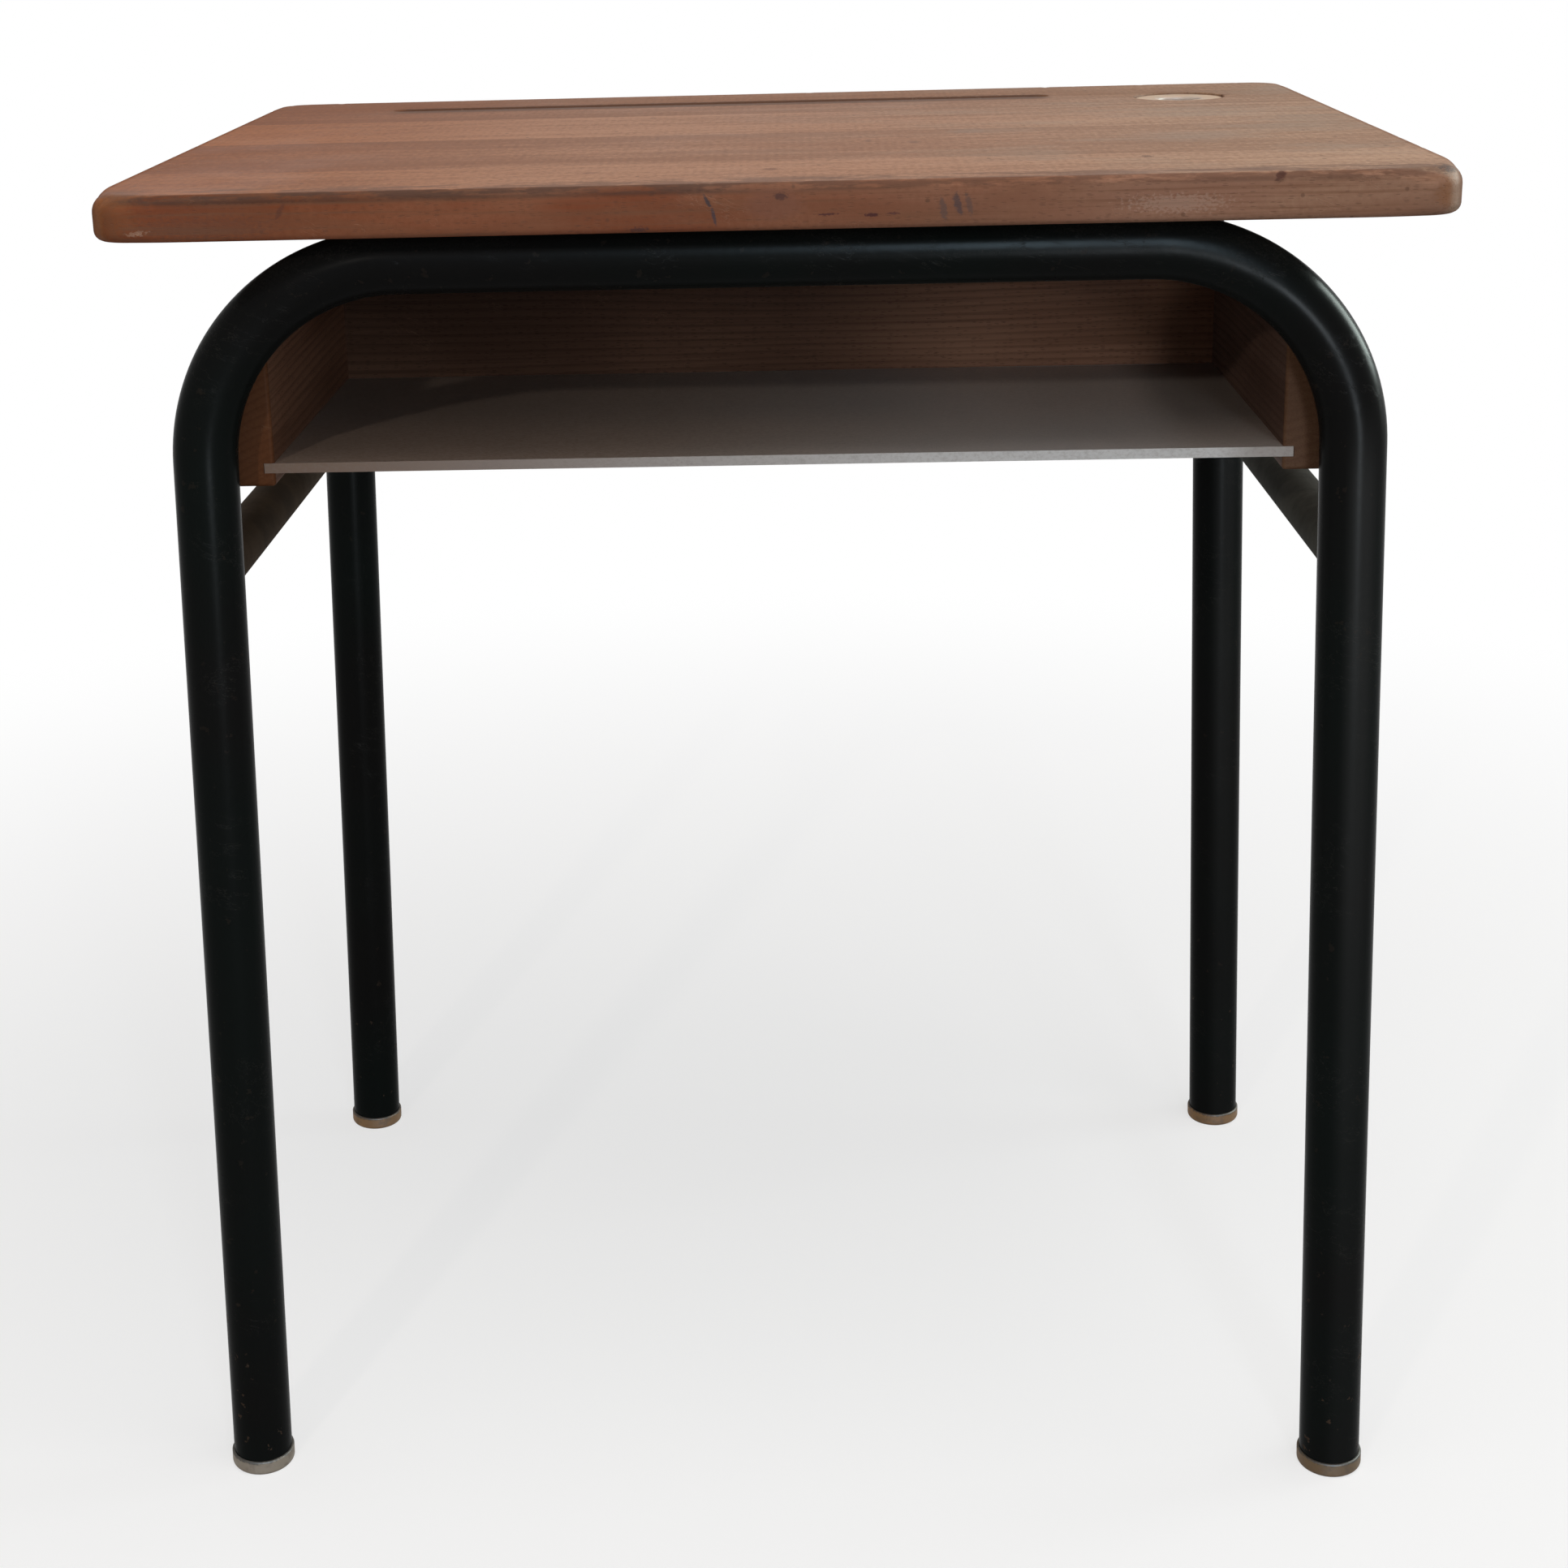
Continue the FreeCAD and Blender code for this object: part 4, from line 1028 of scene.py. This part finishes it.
def edgeRings(top, bottom, halfX, halfY):
    look = board
    points, outward = roundedOutline(halfX, halfY, look["cornerRadius"], look["step"])
    frontSide = np.clip(-outward[:, 1], 0, 1)
    frontSide = frontSide * np.clip(look["wornAlong"] - np.abs(points[:, 0]) / halfX, 0, 1)
    scale = look["unevenScale"]
    uneven = np.array([noise.noise(Vector((x * scale, y * scale, 2.0))) for x, y in points])
    straight = np.array((halfX, halfY)) - look["cornerRadius"] - look["cornerWearReach"]
    nearCorner = np.clip((np.abs(points) - straight) / look["cornerWearReach"], 0, 1).prod(axis=1)
    nearCorner = np.where(points[:, 1] < 0, nearCorner, look["rearShare"] * nearCorner)
    upper = look["upperRadius"] + look["wornRadius"] * np.clip(frontSide + look["unevenness"] * uneven, 0, 1)
    upper = upper + look["cornerWear"] * nearCorner ** 2
    lower = look["lowerRadius"] + look["cornerWear"] / 3 * nearCorner ** 2
    rings = []

    def addRing(inset, height):
        rings.append(np.column_stack((points - outward * inset[:, None], height)))

    addRing(upper + look["flatStrip"], np.full(len(points), top))
    addRing(upper + look["lip"], np.full(len(points), top))
    for angle in np.radians(np.linspace(0, 90, look["upperRings"])):
        addRing(upper * (1 - math.sin(angle)), top - upper * (1 - math.cos(angle)))
    for share in np.linspace(0, 1, look["sideRings"])[1:-1]:
        addRing(np.zeros(len(points)), (top - upper) * (1 - share) + (bottom + lower) * share)
    for angle in np.radians(np.linspace(0, 90, look["lowerRings"])):
        addRing(lower * (1 - math.cos(angle)), bottom + lower * (1 - math.sin(angle)))
    addRing(lower + look["lip"], np.full(len(points), bottom))
    addRing(lower + look["flatStrip"], np.full(len(points), bottom))
    return np.array(rings), outward


def dentEdge(rings, outward):
    # knocks and one chipped nick along the upper edge
    look = board
    draw = random.Random(look["dentSeed"])
    dents = []
    while len(dents) < look["dentCount"]:
        spot, ring = draw.randrange(rings.shape[1]), draw.randint(*look["dentRings"])
        tilt = math.radians(look["dentTilt"] - look["tiltPerRing"] * ring)
        slope = math.tan(tilt) if ring <= look["lastTilted"] else look["sideSlope"]
        direction = np.append(outward[spot], slope)
        reach, depth = draw.uniform(*look["dentReach"]), draw.uniform(*look["dentDepth"])
        if outward[spot][1] > look["frontward"] and draw.random() > look["dentsElsewhere"]:
            continue
        dents.append((rings[ring, spot], direction / np.linalg.norm(direction), reach, depth))
    nick, chip = np.array(look["nick"]), np.array(look["nickDirection"])
    dents.append((nick, chip, look["nickReach"], look["nickDepth"]))
    for centre, direction, reach, depth in dents:
        share = np.linalg.norm(rings - centre, axis=2) / reach
        rings -= (depth * np.clip(1 - share ** 2, 0, 1) ** 2)[..., None] * direction
    return rings


def slotOutline(ends, y, radius):
    # stadium round the groove's middle line
    left, right = ends
    runs = board["runSteps"]
    angles = np.radians(np.linspace(-90, 90, board["endSteps"]))
    start = [(right + radius * math.cos(a), y + radius * math.sin(a)) for a in angles]
    back = [(right + (left - right) * run / runs, y + radius) for run in range(1, runs)]
    finish = [(left - radius * math.cos(a), y - radius * math.sin(a)) for a in angles]
    home = [(left + (right - left) * run / runs, y - radius) for run in range(1, runs)]
    return start + back + finish + home


def grooveRings(top):
    look = board
    cutter, lip = look["cutterRadius"], look["lip"]
    axisZ = top - look["grooveDepth"] + cutter
    ends = (look["grooveEnds"][0] + cutter, look["grooveEnds"][1] - cutter)
    lipTurn = math.radians(look["lipTurn"])
    lipEnd = top - lip * (1 - math.cos(lipTurn))
    lipCentre = math.sqrt(cutter ** 2 - (axisZ - lipEnd) ** 2) + lip * math.sin(lipTurn)
    rings = []
    for angle in np.linspace(0, lipTurn, look["lipSteps"]):
        rings.append((lipCentre - lip * math.sin(angle), top - lip * (1 - math.cos(angle))))
    first = math.asin((axisZ - lipEnd) / cutter)
    for angle in np.linspace(first, math.radians(look["cutterTurn"]), look["cutterSteps"])[1:]:
        rings.append((cutter * math.cos(angle), axisZ - cutter * math.sin(angle)))
    return [[(x, y, z) for x, y in slotOutline(ends, look["grooveY"], radius)] for radius, z in rings]


def circleRings(centre, profile, sides):
    angles = np.radians(np.arange(sides) * 360 / sides)
    return [[(centre[0] + radius * math.cos(a), centre[1] + radius * math.sin(a), z) for a in angles]
            for radius, z in profile]


def seatRings(centre, top, bottom):
    look = board
    lip, seat, hole = look["lip"], look["seatRadius"], look["cupHoleRadius"]
    seatZ = top - look["seatDepth"]
    profile = [(seat + lip * (1 - math.sin(a)), top - lip * (1 - math.cos(a)))
               for a in np.radians(np.linspace(0, 90, look["seatLipSteps"]))]
    profile += [(seat, seatZ + lip / 4), (seat - lip / 4, seatZ), (hole + lip / 2, seatZ)]
    profile += [(hole, seatZ - lip / 2), (hole, bottom + lip / 2), (hole + lip / 2, bottom)]
    return circleRings(centre, profile, look["seatSides"])


def stitchRings(mesh, rings):
    made = [[mesh.verts.new(point) for point in ring] for ring in rings]
    for first, second in zip(made, made[1:]):
        for index in range(len(first)):
            following = (index + 1) % len(first)
            mesh.faces.new((first[index], second[index], second[following], first[following]))
    return made


def fillBetween(mesh, outer, holes):
    # flat triangles inside the outer loop and outside its holes
    corners, sides = [], []
    for loop in [outer] + holes:
        first = len(corners)
        corners += loop
        sides += [(first + index, first + (index + 1) % len(loop)) for index in range(len(loop))]
    flat = np.array([corner.co[:2] for corner in corners])
    starts, ends = flat[np.array(sides[len(outer):])].transpose(1, 0, 2)
    insideOnly, tolerance = 1, 1e-7
    points = [Vector(point) for point in flat]
    triangles = geometry.delaunay_2d_cdt(points, sides, [], insideOnly, tolerance)[2]
    for triangle in triangles:
        middle = flat[triangle].mean(axis=0)
        passed = (starts[:, 1] > middle[1]) != (ends[:, 1] > middle[1])
        slope = (ends[passed, 0] - starts[passed, 0]) / (ends[passed, 1] - starts[passed, 1])
        crossings = starts[passed, 0] + slope * (middle[1] - starts[passed, 1]) > middle[0]
        if crossings.sum() % 2 == 0:
            mesh.faces.new([corners[index] for index in triangle])


def blindHoles():
    # for the screws through the fixing lugs and for the back panel's dowels
    look = board
    holes = []
    for lugs in ("front_fixing_lugs", "rear_fixing_lugs"):
        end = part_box(lugs)[1]
        for side in (-1, 1):
            holes.append((side * (end.x - look["screwFromLugSide"]), end.y - look["screwFromLugEnd"],
                          look["screwHoleRadius"], look["screwHoleDepth"]))
    low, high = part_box("panel_dowels")
    radius = (high.y - low.y) / 2
    for x in np.linspace(low.x + radius, high.x - radius, look["dowelCount"]):
        holes.append((x, low.y + radius, look["dowelHoleRadius"], look["dowelHoleDepth"]))
    return holes


def makeBoard():
    look = board
    low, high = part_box("desktop")
    wellLow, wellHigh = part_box("inkwell")
    wellCentre = ((wellLow.x + wellHigh.x) / 2, (wellLow.y + wellHigh.y) / 2)
    rings, outward = edgeRings(high.z, low.z, high.x, high.y)
    mesh = bmesh.new()
    edge = stitchRings(mesh, dentEdge(rings, outward))
    groove = stitchRings(mesh, grooveRings(high.z))
    mesh.faces.new(groove[-1])
    seat = stitchRings(mesh, seatRings(wellCentre, high.z, low.z))
    holes = []
    for x, y, radius, depth in blindHoles():
        wall = [(radius, low.z), (radius, low.z + depth)]
        hole = stitchRings(mesh, circleRings((x, y), wall, look["holeSides"]))
        mesh.faces.new(hole[-1])
        holes.append(hole[0])
    fillBetween(mesh, edge[0], [groove[0], seat[0]])
    fillBetween(mesh, edge[-1], [seat[-1]] + holes)
    bmesh.ops.recalc_face_normals(mesh, faces=mesh.faces)
    data = bpy.data.meshes.new("desktopBoard")
    mesh.to_mesh(data)
    mesh.free()
    data.polygons.foreach_set("use_smooth", [True] * len(data.polygons))
    data.set_sharp_from_angle(angle=sharpAngle)
    newPiece("desktopBoard", data, "top_beech", "desk", "desktop")


makeBoard()
print("Board made")


# Bent tube frames

legFrames = {
    "splay": 1.5,            # degrees, each leg leans out towards the floor
    "bendRadius": 0.110, "bendSteps": 40,
    "wall": 0.0015, "sides": 56,
}


def newTree(name, inputs):
    # a tree for shapes: takes a geometry, the named inputs and a material
    tree = bpy.data.node_groups.new(name, "GeometryNodeTree")
    for label, kind in {"Geometry": "Geometry", **inputs, "Finish": "Material"}.items():
        tree.interface.new_socket(label, in_out="INPUT", socket_type="NodeSocket" + kind)
    tree.interface.new_socket("Geometry", in_out="OUTPUT", socket_type="NodeSocketGeometry")
    return tree, tree.nodes.new("NodeGroupInput").outputs


def closeTree(tree, shape, finish):
    whole = addNode(tree, "GeometryNodeRealizeInstances", {"Geometry": shape}).outputs["Geometry"]
    smooth = addNode(tree, "GeometryNodeSetShadeSmooth", {"Geometry": whole}).outputs["Geometry"]
    painted = addNode(tree, "GeometryNodeSetMaterial", {"Geometry": smooth, "Material": finish})
    feed(tree.nodes.new("NodeGroupOutput").inputs["Geometry"], painted.outputs["Geometry"])
    return tree


def makeBentTubeTree():
    tree, given = newTree("bentTube", {
        "Bend Radius": "Float", "Bend Steps": "Int", "Tube Radius": "Float", "Sides": "Int"})
    path = addNode(tree, "GeometryNodeMeshToCurve", {"Mesh": given["Geometry"]}).outputs["Curve"]
    bent = addNode(tree, "GeometryNodeFilletCurve", {
        "Curve": path, "Radius": given["Bend Radius"], "Count": given["Bend Steps"]}, mode="POLY")
    ring = addNode(tree, "GeometryNodeCurvePrimitiveCircle", {
        "Resolution": given["Sides"], "Radius": given["Tube Radius"]})
    skin = addNode(tree, "GeometryNodeCurveToMesh", {
        "Curve": bent.outputs["Curve"], "Profile Curve": ring.outputs["Curve"]})
    return closeTree(tree, skin.outputs["Mesh"], given["Finish"])


def withTree(name, mesh, tree, values):
    # runs a node tree on a mesh and gives the result as a plain mesh
    holder = bpy.data.objects.new(name, mesh)
    bpy.context.scene.collection.objects.link(holder)
    modifier = holder.modifiers.new(tree.name, "NODES")
    modifier.node_group = tree
    for item in tree.interface.items_tree:
        if item.in_out == "INPUT" and item.name in values:
            modifier[item.identifier] = values[item.name]
    return plainMesh(holder)


def legLine(node):
    # the leg frame's middle line: foot, corner, corner, foot, and its tube radius
    low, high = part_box(node)
    radius = (high.y - low.y) / 2
    y, topZ = (low.y + high.y) / 2, high.z - radius
    footX = high.x - radius
    cornerX = footX - math.tan(math.radians(legFrames["splay"])) * (topZ - low.z)
    return [(-footX, y, low.z), (-cornerX, y, topZ), (cornerX, y, topZ), (footX, y, low.z)], radius


def makeLegFrames(tree):
    look = legFrames
    for node, name in (("front_leg_frame", "frontLegTube"), ("rear_leg_frame", "rearLegTube")):
        corners, radius = legLine(node)
        line = bpy.data.meshes.new(name + "Line")
        line.from_pydata(corners, [(0, 1), (1, 2), (2, 3)], [])
        skin = withTree(name, line, tree, {"Bend Radius": look["bendRadius"], "Bend Steps": look["bendSteps"],
                                           "Tube Radius": radius, "Sides": look["sides"],
                                           "Finish": finishes["frame_paint"]})
        shell = bmesh.new()
        shell.from_mesh(skin)
        bmesh.ops.recalc_face_normals(shell, faces=shell.faces)
        shell.to_mesh(skin)
        shell.free()
        holder = bpy.data.objects.new(name, skin)
        bpy.context.scene.collection.objects.link(holder)
        wall = holder.modifiers.new("wall", "SOLIDIFY")
        wall.thickness, wall.offset = look["wall"], -1.0
        tube = plainMesh(holder)
        tube.set_sharp_from_angle(angle=sharpAngle)
        newPiece(name, tube, "frame_paint", "desk", node)


bentTube = makeBentTubeTree()
makeLegFrames(bentTube)
print("Leg frames bent")


# Welds where the side rails meet the legs

welds = {
    "core": 0.0016, "drop": 0.0023, "dropsPerWeld": 34, "loopPoints": 64,
    "squash": (0.62, 1.0, 0.8), "unevenness": 0.22, "seed": 5,
    "coreSides": 10, "dropSegments": 14, "dropRings": 8,
}


def makeWeldTree():
    look = welds
    tree, given = newTree("weldSeam", {
        "Core Radius": "Float", "Drop Radius": "Float", "Drop Count": "Int", "Drop Shape": "Vector",
        "Unevenness": "Float", "Seed": "Int"})
    seam = addNode(tree, "GeometryNodeMeshToCurve", {"Mesh": given["Geometry"]}).outputs["Curve"]
    ring = addNode(tree, "GeometryNodeCurvePrimitiveCircle", {
        "Resolution": look["coreSides"], "Radius": given["Core Radius"]})
    core = addNode(tree, "GeometryNodeCurveToMesh", {"Curve": seam, "Profile Curve": ring.outputs["Curve"]})
    spaced = addNode(tree, "GeometryNodeResampleCurve", {"Curve": seam, "Count": given["Drop Count"]})
    drop = addNode(tree, "GeometryNodeMeshUVSphere", {
        "Segments": look["dropSegments"], "Rings": look["dropRings"], "Radius": given["Drop Radius"]})
    alongSeam = addNode(tree, "GeometryNodeInputTangent").outputs["Tangent"]
    turned = addNode(tree, "FunctionNodeAlignRotationToVector", {"Vector": alongSeam}, axis="X")
    spread = calc("SUBTRACT", 1.0, given["Unevenness"])
    varied = addNode(tree, "FunctionNodeRandomValue", {"Min": spread, "Max": 1.0, "Seed": given["Seed"]})
    scale = vectorCalc("MULTIPLY", given["Drop Shape"], varied.outputs[1])
    drops = addNode(tree, "GeometryNodeInstanceOnPoints", {
        "Points": spaced.outputs["Curve"], "Instance": drop.outputs["Mesh"],
        "Rotation": turned.outputs["Rotation"], "Scale": scale})
    joined = tree.nodes.new("GeometryNodeJoinGeometry")
    feed(joined.inputs[0], core.outputs["Mesh"])
    feed(joined.inputs[0], drops.outputs["Instances"])
    return closeTree(tree, joined.outputs[0], given["Finish"])


def saddleLoop(side, legY, towards, legRadius, railX, railZ, railRadius, axisX):
    # closed line where a rail's round end meets the round leg
    places = []
    for step in range(welds["loopPoints"]):
        angle = 2 * math.pi * step / welds["loopPoints"]
        x, z = railX + railRadius * math.cos(angle), railZ + railRadius * math.sin(angle)
        away = x - axisX(z)
        places.append((side * x, legY + towards * math.sqrt(max(legRadius ** 2 - away ** 2, 0)), z))
    return places


def makeWelds(tree):
    look = welds
    railLow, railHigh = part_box("right_side_rail")
    railRadius, railZ = (railHigh.z - railLow.z) / 2, (railHigh.z + railLow.z) / 2
    railX = (railHigh.x + railLow.x) / 2
    places, edges = [], []
    for node, towards in (("front_leg_frame", 1), ("rear_leg_frame", -1)):
        corners, legRadius = legLine(node)
        (cornerX, legY, topZ), (footX, _, footZ) = corners[2:]

        def axisX(z):
            return cornerX + (footX - cornerX) * (topZ - z) / (topZ - footZ)

        for side in (-1, 1):
            loop = saddleLoop(side, legY, towards, legRadius, railX, railZ, railRadius, axisX)
            start = len(places)
            places += loop
            edges += [(start + step, start + (step + 1) % len(loop)) for step in range(len(loop))]
    seams = bpy.data.meshes.new("railWeldSeams")
    seams.from_pydata(places, edges, [])
    data = withTree("railWelds", seams, tree, {
        "Core Radius": look["core"], "Drop Radius": look["drop"], "Drop Count": look["dropsPerWeld"],
        "Drop Shape": look["squash"], "Unevenness": look["unevenness"], "Seed": look["seed"],
        "Finish": finishes["frame_paint"]})
    newPiece("railWelds", data, "frame_paint", "desk", "rail_weld_beads")


makeWelds(makeWeldTree())
print("Welds laid")
